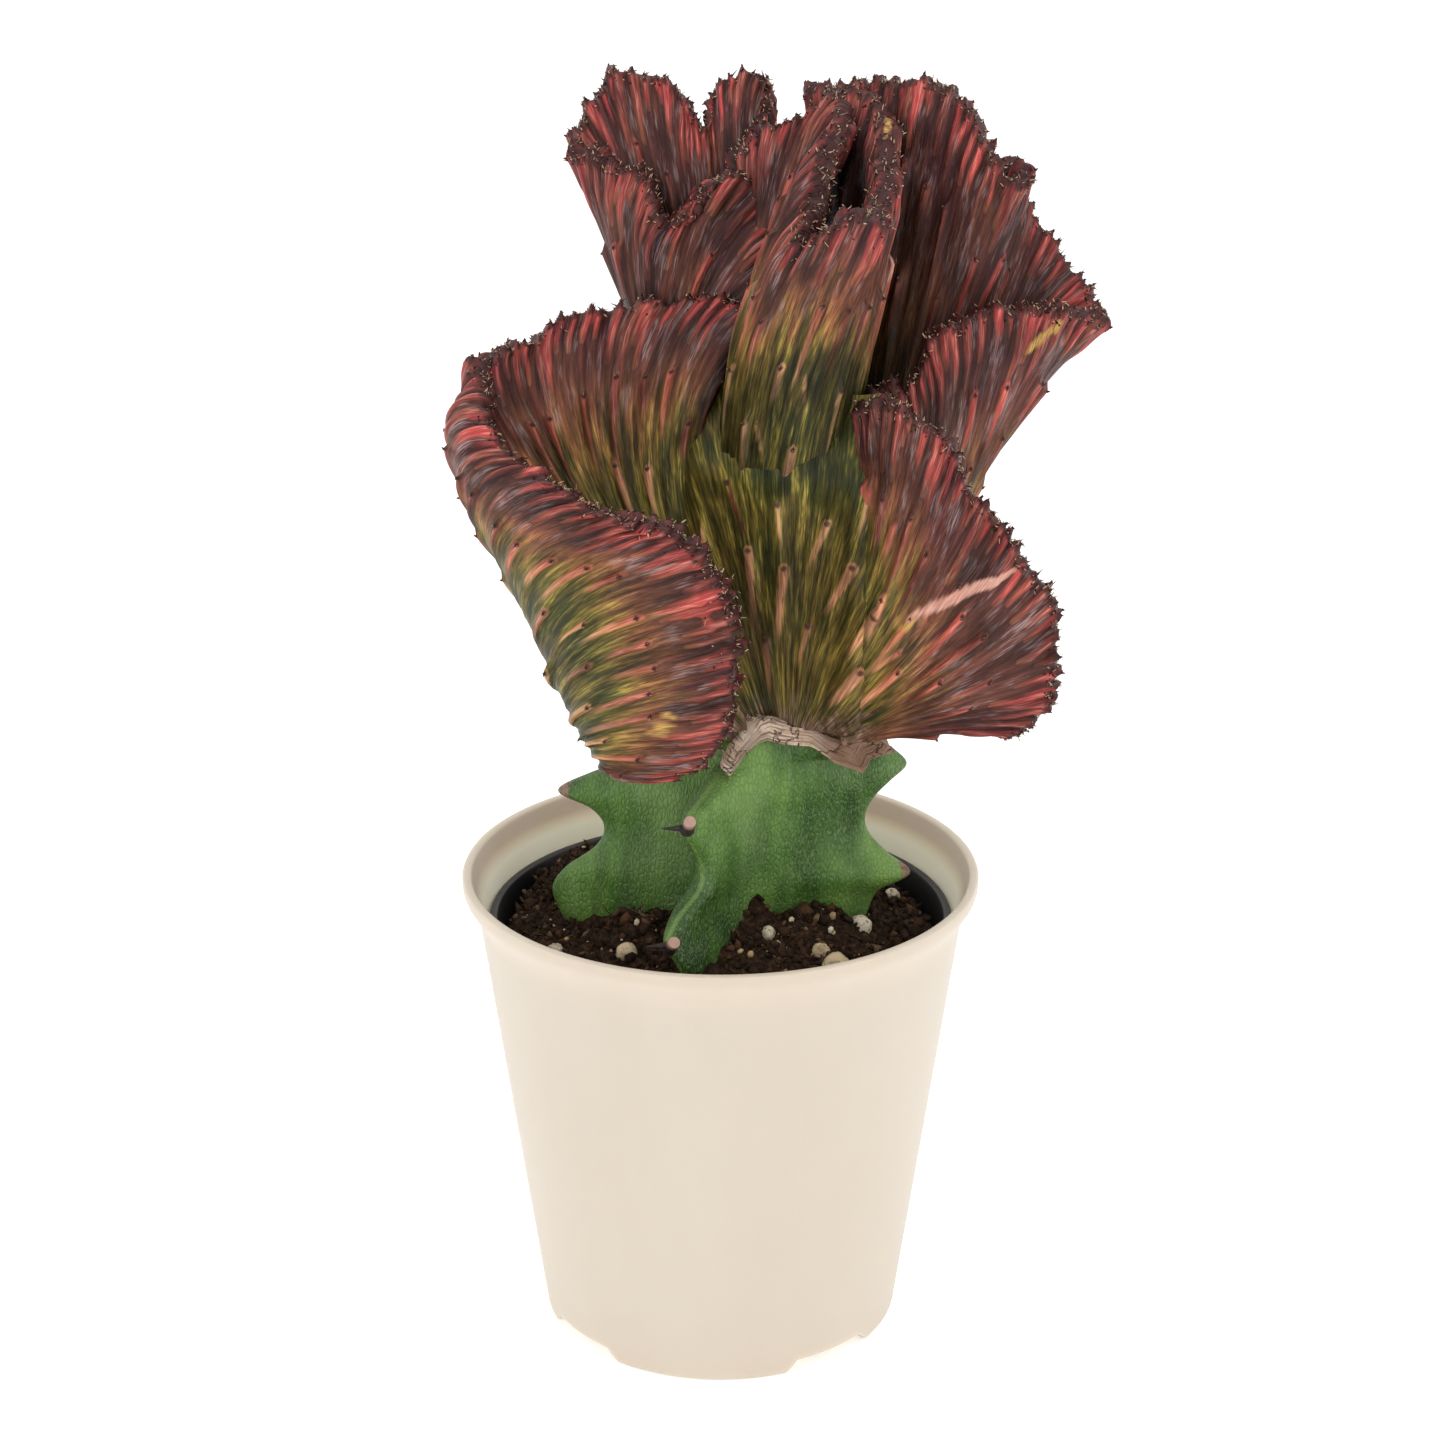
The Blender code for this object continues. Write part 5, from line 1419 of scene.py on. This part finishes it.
def thorns():
    """Dark thorns beside thick stubs with a pale cut."""
    shape = bmesh.new()
    for ends, low, high in ((THORNS, THORN_RADIUS, 0.15), (THORN_STUBS, STUB_RADIUS, 0.8 * STUB_RADIUS)):
        for foot, tip in ends:
            foot, tip = Vector(foot), Vector(tip)
            along = tip - foot
            made = bmesh.ops.create_cone(shape, cap_ends=True, segments=THORN_SIDES, radius1=low,
                                         radius2=high, depth=along.length)["verts"]
            turn = along.to_track_quat("Z", "Y").to_matrix().to_4x4()
            bmesh.ops.transform(shape, verts=made, matrix=Matrix.Translation((foot + tip) * 0.5) @ turn)
    cut_ends = [Vector(tip) for _, tip in THORN_STUBS]
    near = [min((vertex.co - tip).length for tip in cut_ends) for vertex in shape.verts]
    bmesh.ops.scale(shape, verts=shape.verts, vec=(MM, MM, MM))
    item = bmesh_object("rootstock_thorns", shape)
    write_attributes(item, cut=[1.0 if away < 0.85 * STUB_RADIUS else 0.0 for away in near])
    shade(item, THORN_SMOOTH_ANGLE)
    return item


def skirt_edges(at_x, back, wave):
    """Height of the skirt's hem and of its top around the graft, and how far right each lies."""
    hem = np.interp(at_x, *zip(*HEM))
    hem += (HEM_AT_BACK - hem) * smooth_step(-0.25, 0.1, back) + 0.5 * wave
    right = smooth_step(*SKIRT_RIGHT, at_x)
    top = SKIRT_TOP_LEFT + (SKIRT_TOP_RIGHT - SKIRT_TOP_LEFT) * right + 0.5 * wave
    return hem, top, right


def skirt_sizes(z):
    """Half width, half depth and unevenness of the skirt at each height."""
    heights, levels = zip(*((height, level) for height, *level in SKIRT_LEVELS))
    sizes = through(heights, levels, z.ravel())
    return np.moveaxis(sizes.reshape(*z.shape, 3), 2, 0)


def collar():
    """Thin corky skirt of the graft, hanging over the stock's top with an uneven hem."""
    draw = random.Random(COLLAR_SEED)
    waves = [(draw.uniform(0.0, 6.28), lobes) for lobes in SKIRT_LOBES]
    turn = np.linspace(0.0, 2.0 * math.pi, COLLAR_SIDES, endpoint=False)
    cos, sin = np.cos(turn), np.sin(turn)
    wave = sum(np.sin(lobes * turn + start) for start, lobes in waves) / 2.0
    at_x = COLLAR_CENTRE[0] + COLLAR_HALF_WIDTH * cos
    hem, top, right = skirt_edges(at_x, sin, wave)
    z = hem[:, None] + (top - hem)[:, None] * np.linspace(0.0, 1.0, COLLAR_ROWS)
    over_hem = z - hem[:, None]
    wide, deep, wavy = skirt_sizes(z)
    curl = smooth_step(3.0, 0.0, over_hem)
    roll = smooth_step(*HEM_ROLL, at_x)[:, None]
    arc = turn[:, None] * COLLAR_ARC_RADIUS + 0.0 * z
    rough = rough_noise(arc * 0.25, z * 0.35, 4) - 0.5
    push = wavy * wave[:, None] + curl * (0.8 + 1.6 * roll) + 1.6 * rough
    thick = SKIRT_THICK * (1.0 - 0.5 * curl) * smooth_step(0.0, 0.6, over_hem + 0.15)
    forward = 1.0 + (SKIRT_FRONT - 1.0) * smooth_step(0.2, -0.6, sin) * (1.0 - right)
    across, ahead = (np.sign(value) * np.abs(value) ** SKIRT_SQUARENESS for value in (cos, sin))
    sheets = []
    for inset in (0.0, thick):
        x = COLLAR_CENTRE[0] + (wide + push - inset) * across[:, None]
        y = COLLAR_CENTRE[1] + (deep + push - inset) * (ahead * forward)[:, None]
        sheets.append(np.stack([x, y, z], axis=2))
    points, sheet = (np.concatenate([outer[:, ::-1], inner], axis=1)
                     for outer, inner in (sheets, [np.stack([arc, z, over_hem], axis=2)] * 2))
    faces = grid_faces(COLLAR_SIDES, 2 * COLLAR_ROWS, closed=True, flip=True)
    item = mesh_object("cork_collar", points, faces)
    write_attributes(item, sheet=sheet)
    return item


# Materials
class Wire:
    """A value that runs between the nodes of a material. A sum with it adds a node."""

    def __init__(self, paint, socket):
        self.paint = paint
        self.socket = socket

    def __add__(self, other):
        return self.paint.maths("ADD", self, other)

    def __sub__(self, other):
        return self.paint.maths("SUBTRACT", self, other)

    def __rsub__(self, other):
        return self.paint.maths("SUBTRACT", other, self)

    def __mul__(self, other):
        return self.paint.maths("MULTIPLY", self, other)

    __radd__ = __add__
    __rmul__ = __mul__


class Paint:
    """Builds the nodes of one material, with its colour laid on coat by coat."""

    def __init__(self, name, specular):
        self.material = bpy.data.materials.new(name)
        self.material.use_nodes = True
        self.tree = self.material.node_tree
        self.shader = self.tree.nodes["Principled BSDF"]
        self.colour = None
        self.fill(self.shader, {"Specular IOR Level": specular})

    def fill(self, node, values):
        """Fill a node's inputs, by index or by name, with wires or plain values."""
        for key, value in values.items():
            if isinstance(value, Wire):
                self.tree.links.new(value.socket, node.inputs[key])
            else:
                node.inputs[key].default_value = value

    def make(self, kind, values, output=0, **settings):
        """Add a node, fill its inputs, and take one of its outputs."""
        node = self.tree.nodes.new("ShaderNode" + kind)
        for key, value in settings.items():
            setattr(node, key, value)
        self.fill(node, values)
        return Wire(self, node.outputs[output])

    def attribute(self, name, output="Fac"):
        """Read one attribute of the mesh."""
        return self.make("Attribute", {}, output, attribute_name=name)

    def place(self):
        """Place on the piece in metres."""
        return self.make("TexCoord", {}, "Object")

    def maths(self, operation, a, b=0.0):
        """One sum."""
        return self.make("Math", {0: a, 1: b}, operation=operation)

    def vectors(self, operation, a, b):
        """One sum of vectors, part by part."""
        return self.make("VectorMath", {0: a, 1: b}, operation=operation)

    def parts(self, vector):
        """The three parts of a vector or a colour."""
        sockets = self.make("SeparateXYZ", {0: vector}).socket.node.outputs
        return [Wire(self, socket) for socket in sockets]

    def noise(self, vector, scale, detail=3.0, roughness=0.55, output="Fac"):
        """Noise texture, with one scale or with one for each axis."""
        if isinstance(scale, tuple):
            vector, scale = self.vectors("MULTIPLY", vector, scale), 1.0
        values = {"Vector": vector, "Scale": scale, "Detail": detail, "Roughness": roughness}
        return self.make("TexNoise", values, output)

    def rib_noise(self, place, squeeze, scale, detail):
        """Three noises along the ribs that stay as fine where the ribs run together."""
        level = self.maths("FLOOR", squeeze)
        between_levels = 37.0
        colours = []
        for number in (level, level + 1.0):
            halved = self.maths("POWER", 0.5, number)
            stretch = self.make("CombineXYZ", {0: halved * scale[0], 1: scale[1], 2: 1.0})
            shift = self.make("CombineXYZ", {2: number * between_levels})
            moved = self.vectors("ADD", self.vectors("MULTIPLY", place, stretch), shift)
            colours.append(self.noise(moved, 1.0, detail, 0.68, "Color"))
        return self.parts(self.blend(self.maths("FRACT", squeeze), *colours))

    def cracks(self, vector, scale):
        """Distance to the nearest line of a net of cells."""
        values = {"Vector": vector, "Scale": scale}
        return self.make("TexVoronoi", values, "Distance", feature="DISTANCE_TO_EDGE")

    def rise(self, value, low, high, kind="SMOOTHSTEP"):
        """Map a value from low..high to 0..1."""
        values = {"Value": value, "From Min": low, "From Max": high}
        return self.make("MapRange", values, "Result", interpolation_type=kind)

    def blend(self, share, a, b):
        """Mix two colours."""
        a, b = ((*colour, 1.0) if isinstance(colour, tuple) else colour for colour in (a, b))
        return self.make("Mix", {0: share, 6: a, 7: b}, 2, data_type="RGBA")

    def coat(self, share, colour):
        """Lay a share of a colour over the colour so far."""
        self.colour = self.blend(share, self.colour, colour)

    def stops(self, share, *stops):
        """Colour ramp through stops of a position and a colour."""
        wire = self.make("ValToRGB", {0: share})
        elements = wire.socket.node.color_ramp.elements
        while len(elements) < len(stops):
            elements.new(0.5)
        for element, (position, *colour) in zip(elements, stops):
            element.position = position
            element.color = (*colour, 1.0)
        return wire

    def finish(self, roughness, height=None, depth=0.2, strength=1.0):
        """Link colour, roughness and bump to the shader."""
        self.fill(self.shader, {"Base Color": self.colour, "Roughness": roughness})
        if height is not None:
            values = {"Strength": strength, "Distance": depth * MM, "Height": height}
            self.fill(self.shader, {"Normal": self.make("Bump", values, "Normal")})
        return self.material


def crest_paint():
    """Maroon to green skin with fine fibres, ribs with pink crests and painted highlights, grey wax that
    is partly painted sheen, and painted shade in the folds, on marks and along the ribs.
    """
    paint = Paint("crest_skin", 0.24)
    place = paint.attribute("place", "Vector")
    squeeze, shape, tip, fade, tone, zone, streak, climbed, sky = map(paint.attribute, (
        "squeeze", "shape", "tip", "fade", "tone", "zone", "streak", "climbed", "sky"))
    fibre, mottle, grain = paint.rib_noise(place, squeeze, (0.62, 0.05), 3.0)
    fine, speck, bright = paint.rib_noise(place, squeeze, (2.6, 0.17), 1.0)

    # Pigment from the rim to the foot, with russet clouds
    age = zone + (streak - 0.5) + 2.2 * (fibre - 0.5)
    paint.colour = paint.stops(
        0.4 * age,
        (0.0, 0.12, 0.022, 0.020), (0.12, 0.18, 0.040, 0.026), (0.26, 0.23, 0.070, 0.033),
        (0.40, 0.20, 0.090, 0.028), (0.56, 0.105, 0.080, 0.016), (0.78, 0.042, 0.046, 0.009))
    cloud = paint.noise(place, (0.055, 0.035, 1.0), 2.0, 0.5)
    russet = paint.blend(paint.rise(zone, 0.8, 1.8), (0.25, 0.085, 0.036), (0.15, 0.105, 0.022))
    paint.coat(0.65 * paint.rise(cloud, 0.44, 0.58), russet)

    # Bright strokes and dark specks, weaker near the rim
    greener = paint.rise(age, 0.5, 1.2)
    ink = paint.blend(greener, (0.030, 0.009, 0.008), (0.012, 0.015, 0.004))
    glow = paint.blend(greener, (0.50, 0.17, 0.085), (0.35, 0.255, 0.05))
    lively = 0.55 + 0.45 * paint.rise(zone, 0.3, 1.1)
    stroke = paint.rise(mottle, 0.46, 0.64) * paint.rise(fine, 0.36, 0.60) * lively
    paint.coat(0.60 * stroke, glow)
    for noise, low, high, share in ((grain, 0.54, 0.38, 0.65), (speck, 0.50, 0.34, 0.50)):
        paint.coat(share * paint.rise(noise, low, high) * lively, ink)

    # Dark valleys between the ribs, and painted shade along the flanks of the ribs
    paint.coat(0.78 * paint.rise(shape, -0.2, 0.5) * paint.rise(zone, 1.3, 0.3), VALLEY_MAROON)
    # Painted shade: a dark band beside each rib
    paint.coat(0.35 * paint.rise(shape, 1.2, 0.2) * paint.rise(zone, 2.2, 0.6), ink)

    # Grey wax in patches, partly painted sheen
    wax_and_sheen = paint.rise(paint.noise(place, (0.22, 0.055, 1.0), 3.0, 0.6), 0.50, 0.62)
    wax_and_sheen = wax_and_sheen * paint.rise(zone, 1.3, 0.6) * paint.rise(bright, 0.42, 0.60)
    paint.coat(0.50 * wax_and_sheen, WAX_AND_SHEEN_GREY)

    # Crests of the ribs, red to straw, dark on some ribs, and pink on their crowns, where a highlight is
    # painted
    flush = paint.stops(0.4 * zone, (0.0, 0.28, 0.030, 0.032), (0.25, 0.30, 0.052, 0.038),
                        (0.5, 0.35, 0.11, 0.058), (0.8, 0.50, 0.29, 0.13))
    flush = paint.blend(paint.rise(tone, 0.30, 0.9, "LINEAR"), flush, (0.13, 0.028, 0.022))
    # Painted highlight: the crowns of the ribs are made a paler pink
    crown = paint.rise(shape, -0.2, -0.9) * paint.rise(bright, 0.44, 0.62)
    flush = paint.blend(0.50 * crown, flush, (0.52, 0.21, 0.16))
    rib_colour_and_highlight = paint.rise(shape + 1.6 * (fine - 0.5), 0.35, -0.45) * paint.rise(fade, 0.0, 0.5)
    paint.coat(0.9 * rib_colour_and_highlight * paint.rise(fibre, 0.30, 0.42), flush)

    # Lighter and darker places, and painted shade, darkest deep in the folds and on the marks of painted
    # shade
    shade = paint.noise(place, (0.075, 0.040, 1.7), 2.0, 0.5)
    gain = 0.66 + 0.96 * paint.rise(mottle, 0.36, 0.64)
    gain = gain * (0.26 + 0.88 * paint.rise(sky, 0.10, 0.80, "LINEAR"))
    gain = gain * (0.66 + 0.66 * paint.rise(shade, 0.36, 0.60))
    gain = gain * paint.rise(paint.attribute("dark_mark"), 1.9, -0.1, "LINEAR")
    paint.colour = paint.make("VectorMath", {0: paint.colour, "Scale": gain}, operation="SCALE")

    # Dark rim and tubercle scars, bark at the foot, and the pale and tan scars
    paint.coat(0.7 * paint.rise(paint.parts(place)[1], -0.2, -1.8), RIM_DARK)
    paint.coat(0.85 * paint.rise(tip, 1.3, 0.5), SCAR_DARK)
    bark = paint.noise(paint.place(), (330.0, 330.0, 72.6), 2.0, 0.6)
    dry = paint.rise(climbed + 60.0 * (fibre - 0.5), 24.0, 13.0)
    paint.coat(dry, paint.stops(bark, (0.32, 0.075, 0.032, 0.027), (0.5, 0.20, 0.11, 0.08),
                                (0.66, 0.44, 0.28, 0.20)))
    for mark, noise, low, high in (
            ("tan_mark", speck, (0.62, 0.36, 0.10), (0.28, 0.15, 0.05)),
            ("pale_mark", fine, (0.72, 0.42, 0.32), (0.60, 0.26, 0.20))):
        paint.coat(paint.attribute(mark), paint.blend(paint.rise(noise, 0.4, 0.6), low, high))
    height = (fibre + 0.7 * fine) * (1.0 - 0.8 * dry)
    return paint.finish(0.32 + 0.30 * grain, height, 0.5)


def spine_paint(name, dark, tan):
    """Spines that are dark at the root and tan at the tip, each a little different."""
    paint = Paint(name, 0.12)
    tip, tone = map(paint.attribute, ("tip", "tone"))
    grain = paint.noise(paint.place(), 1500.0)
    paint.colour = paint.blend(paint.rise(tip, 0.25, 0.75) * paint.rise(tone, 0.25, 0.55), dark, tan)
    paint.coat(0.4 * grain, tuple(0.5 * part for part in dark))
    return paint.finish(paint.rise(grain, 0.0, 1.6, "LINEAR"))


def plastic_paint(name, colour, deeper, roughness, lit=None):
    """Moulded plastic with a faint mottle and a fine satin grain, its inside made paler with painted
    light if wanted.
    """
    paint = Paint(name, 0.5)
    place = paint.place()
    cloud = paint.noise(place, (22.0, 22.0, 8.8), 3.0)
    grain = paint.noise(place, 900.0, 2.0)
    paint.colour = paint.blend(paint.rise(cloud, 0.3, 0.7), colour, deeper)
    if lit is not None:
        # Painted light: the inner wall is made paler
        paint.coat(paint.attribute("inside"), lit)
        paint.fill(paint.shader, {"Subsurface Weight": 0.6, "Subsurface Radius": (1.0, 0.88, 0.7),
                                  "Subsurface Scale": 5.0 * MM})
    return paint.finish(roughness + 0.12 * grain, grain, 0.02, 0.6)


def stock_paint():
    """Waxy green skin with a fine pale net, painted sheen and painted shade in vertical bands, a bright
    ridge and dry brown tips.
    """
    paint = Paint("rootstock_skin", 0.45)
    place = paint.place()
    cloud = paint.noise(place, (48.0, 48.0, 19.2), 3.0, 0.5)
    net = paint.cracks(paint.vectors("MULTIPLY", place, (1.0, 1.0, 0.45)), 900.0)
    dashes = paint.noise(place, (1900.0, 1900.0, 665.0), 2.0)
    sheen_and_shade_bands = paint.noise(place, (70.0, 70.0, 21.0), 3.0)
    paint.colour = paint.stops(cloud, (0.36, 0.020, 0.064, 0.008), (0.5, 0.082, 0.190, 0.026),
                               (0.62, 0.19, 0.345, 0.070))
    # Painted sheen and painted shade in soft vertical bands
    paint.coat(0.28 * paint.rise(sheen_and_shade_bands, 0.50, 0.64), PALE_SHEEN_VEIL)
    paint.coat(0.50 * paint.rise(sheen_and_shade_bands, 0.46, 0.34), DEEP_SHADE_VEIL)
    paint.coat(0.35 * paint.rise(net, 0.10, 0.02), NET_GREEN)
    paint.coat(0.6 * paint.rise(dashes, 0.52, 0.66), DASH_GREEN)
    paint.coat(0.6 * paint.rise(paint.attribute("crestline"), 0.86, 1.0), RIDGE_GREEN)
    bark = paint.stops(paint.noise(place, 400.0), (0.3, 0.12, 0.06, 0.035), (0.7, 0.36, 0.24, 0.15))
    paint.coat(paint.rise(paint.attribute("dry"), 0.3, 0.6), bark)
    return paint.finish(0.28 + 0.3 * cloud, paint.rise(net, 0.0, 0.25) + dashes, 0.2, 0.9)


def cork_paint():
    """Dry tan cork with fine lines along its hem, dark cracks, and browner at its right end."""
    paint = Paint("collar_cork", 0.15)
    sheet = paint.attribute("sheet", "Vector")
    place = paint.place()
    lines = paint.noise(sheet, (0.09, 0.0, 2.6), 3.0, 0.6)
    patch = paint.noise(place, 160.0, 4.0, 0.65)
    bent = paint.noise(place, 220.0, 3.0, 0.6, "Color")
    flat = paint.vectors("MULTIPLY", sheet, (0.05, 0.10, 0.0))
    cracks = paint.cracks(paint.vectors("ADD", flat, bent), 1.0)
    paint.colour = paint.stops(patch, (0.3, 0.52, 0.34, 0.23), (0.48, 0.74, 0.55, 0.41),
                               (0.68, 0.88, 0.72, 0.58))
    paint.coat(0.75 * paint.rise(paint.parts(place)[0], 0.022, 0.034), CORK_BROWN)
    paint.coat(0.75 * paint.rise(lines, 0.52, 0.40), CORK_LINE)
    paint.coat(paint.rise(cracks, 0.02, 0.0), CORK_CRACK)
    return paint.finish(0.85, paint.rise(cracks, 0.0, 0.04) + lines, 0.6)


def soil_paint():
    """Dark brown peat, with ruddy bark, black and grey crumbs by their tone."""
    paint = Paint("peat_soil", 0.15)
    place, tone = paint.place(), paint.attribute("tone")
    fine, grain = paint.noise(place, 450.0, 4.0, 0.7), paint.noise(place, 1600.0, 3.0)
    paint.colour = paint.stops(fine, (0.3, 0.008, 0.004, 0.002), (0.5, 0.03, 0.016, 0.009),
                               (0.62, 0.06, 0.033, 0.018), (0.78, 0.13, 0.085, 0.055))
    bark = paint.stops(tone, (0.0, 0.010, 0.006, 0.004), (0.5, 0.035, 0.02, 0.012),
                       (0.75, 0.10, 0.050, 0.026), (0.9, 0.17, 0.075, 0.036), (1.0, 0.34, 0.23, 0.14))
    paint.coat(paint.rise(tone, 0.0, 0.05), paint.blend(0.5, paint.colour, bark))
    return paint.finish(0.95, fine + 0.4 * grain, 0.9)


def perlite_paint():
    """Chalky grains from white to straw yellow, with fine pores and soil stains."""
    paint = Paint("perlite", 0.2)
    place = paint.place()
    pores, stain = paint.noise(place, 900.0, 3.0), paint.noise(place, 260.0, 3.0)
    paint.colour = paint.stops(paint.attribute("tone"), (0.0, 0.70, 0.62, 0.48),
                               (0.5, 0.60, 0.47, 0.29), (1.0, 0.48, 0.31, 0.13))
    paint.coat(paint.rise(pores, 0.45, 0.3), PORE_BROWN)
    paint.coat(0.6 * paint.rise(stain, 0.5, 0.7), STAIN_BROWN)
    return paint.finish(0.9, pores, 0.6)


def thorn_paint():
    """Dark grey horn, with pinkish tan where a stub is cut."""
    paint = Paint("thorn_horn", 0.3)
    grain = paint.noise(paint.place(), 700.0, 3.0)
    paint.colour = paint.stops(grain, (0.3, 0.02, 0.014, 0.014), (0.6, 0.06, 0.045, 0.045),
                               (0.8, 0.13, 0.09, 0.08))
    wood = paint.blend(grain, (0.42, 0.24, 0.18), (0.60, 0.40, 0.32))
    paint.coat(paint.rise(paint.attribute("cut"), 0.6, 0.95), wood)
    return paint.finish(0.6, grain, 0.2)


def floor_paint():
    """Plain white paper with a barely seen tooth."""
    paint = Paint("paper_floor", 0.1)
    tooth = paint.noise(paint.place(), 300.0, 2.0)
    paint.colour = paint.blend(tooth, (0.93, 0.93, 0.93), (0.95, 0.95, 0.95))
    paint.fill(paint.shader, {"Emission Color": (1.0, 1.0, 1.0, 1.0), "Emission Strength": FLOOR_GLOW})
    return paint.finish(0.9)


# Camera, lights and floor
def camera():
    """Camera at the photograph's angle."""
    data = bpy.data.cameras.new("photo_camera")
    data.lens = CAMERA_LENS
    data.sensor_width = data.sensor_height = CAMERA_SENSOR
    item = link_object("photo_camera", data)
    item.location = CAMERA_PLACE
    item.rotation_euler = (math.radians(90.0 - CAMERA_TILT), 0.0, 0.0)
    bpy.context.scene.camera = item


def area_light(name, place, size, power):
    """A square soft light that faces the plant."""
    data = bpy.data.lights.new(name, "AREA")
    data.size = size
    data.energy = power
    item = link_object(name, data)
    item.location = place
    item.rotation_euler = (Vector(LIT_PLACE) - Vector(place)).to_track_quat("-Z", "Y").to_euler()


def studio():
    """White surroundings, soft lights and a plain pale floor."""
    world = bpy.data.worlds.new("studio")
    bpy.context.scene.world = world
    world.use_nodes = True
    background = world.node_tree.nodes["Background"]
    background.inputs["Color"].default_value = (1.0, 1.0, 1.0, 1.0)
    background.inputs["Strength"].default_value = WORLD_LIGHT
    for light in LIGHTS:
        area_light(*light)
    half = 0.5 * FLOOR_SPAN / MM
    corners = [(x * half, y * half, 0.0) for x, y in ((-1, -1), (1, -1), (1, 1), (-1, 1))]
    floor = mesh_object("floor", corners, [(0, 1, 2, 3)], smooth=False)
    floor.location = (0.0, 0.0, -FLOOR_LOWERED)
    floor.data.materials.append(floor_paint())


def add_piece(item, material, slot, *nodes):
    """Paint a piece, let it ride on the body, and hide the CAD nodes that it stands for."""
    item.data.materials.clear()
    item.data.materials.append(material)
    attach(item, BODY)
    if nodes:
        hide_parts(*nodes)


def build():
    """Dress the whole model."""
    camera()
    studio()
    faces, rim, tips = build_crest()
    skin = crest_paint()
    for item in faces:
        add_piece(item, skin, "crest", "crest")
    add_piece(rim, spine_paint("rim_spines", RIM_SPINE_ROOT, RIM_SPINE_TIP), "crest")
    add_piece(tips, spine_paint("tubercle_tips", STUB_ROOT, STUB_TIP), "crest")
    cream = plastic_paint("cream_plastic", CREAM, CREAM_DEEPER, 0.40, CREAM_LIT_INSIDE)
    black = plastic_paint("black_plastic", BLACK, BLACK_DEEPER, 0.38)
    add_piece(outer_pot(), cream, "outer_pot", "outer_pot")
    add_piece(nursery_pot(), black, "nursery_pot", "nursery_pot")
    add_piece(rootstock(), stock_paint(), "rootstock", "rootstock")
    add_piece(thorns(), thorn_paint(), "rootstock")
    add_piece(collar(), cork_paint(), "graft_collar", "graft_collar")
    chance = np.random.default_rng(SOIL_SEED)
    earth = soil_paint()
    add_piece(soil_top(), earth, "soil", "soil")
    add_piece(strewn("soil_crumbs", chance, SOIL_CRUMBS, margin=1.5, least=0.35, more=1.3, power=4,
                     raised=0.3, stretch=0.95), earth, "soil")
    add_piece(soil_fibres(chance), earth, "soil")
    chalk = perlite_paint()
    add_piece(strewn("perlite_crumbs", chance, SMALL_PERLITE, margin=3.0, least=0.25, more=1.1,
                     power=3, raised=0.5, stretch=0.4), chalk, "perlite")
    for index, item in enumerate(big_perlite(chance)):
        add_piece(item, chalk, "perlite", "perlite_%02d" % (index + 1))
    bpy.context.scene.view_settings.view_transform = "Standard"


build()
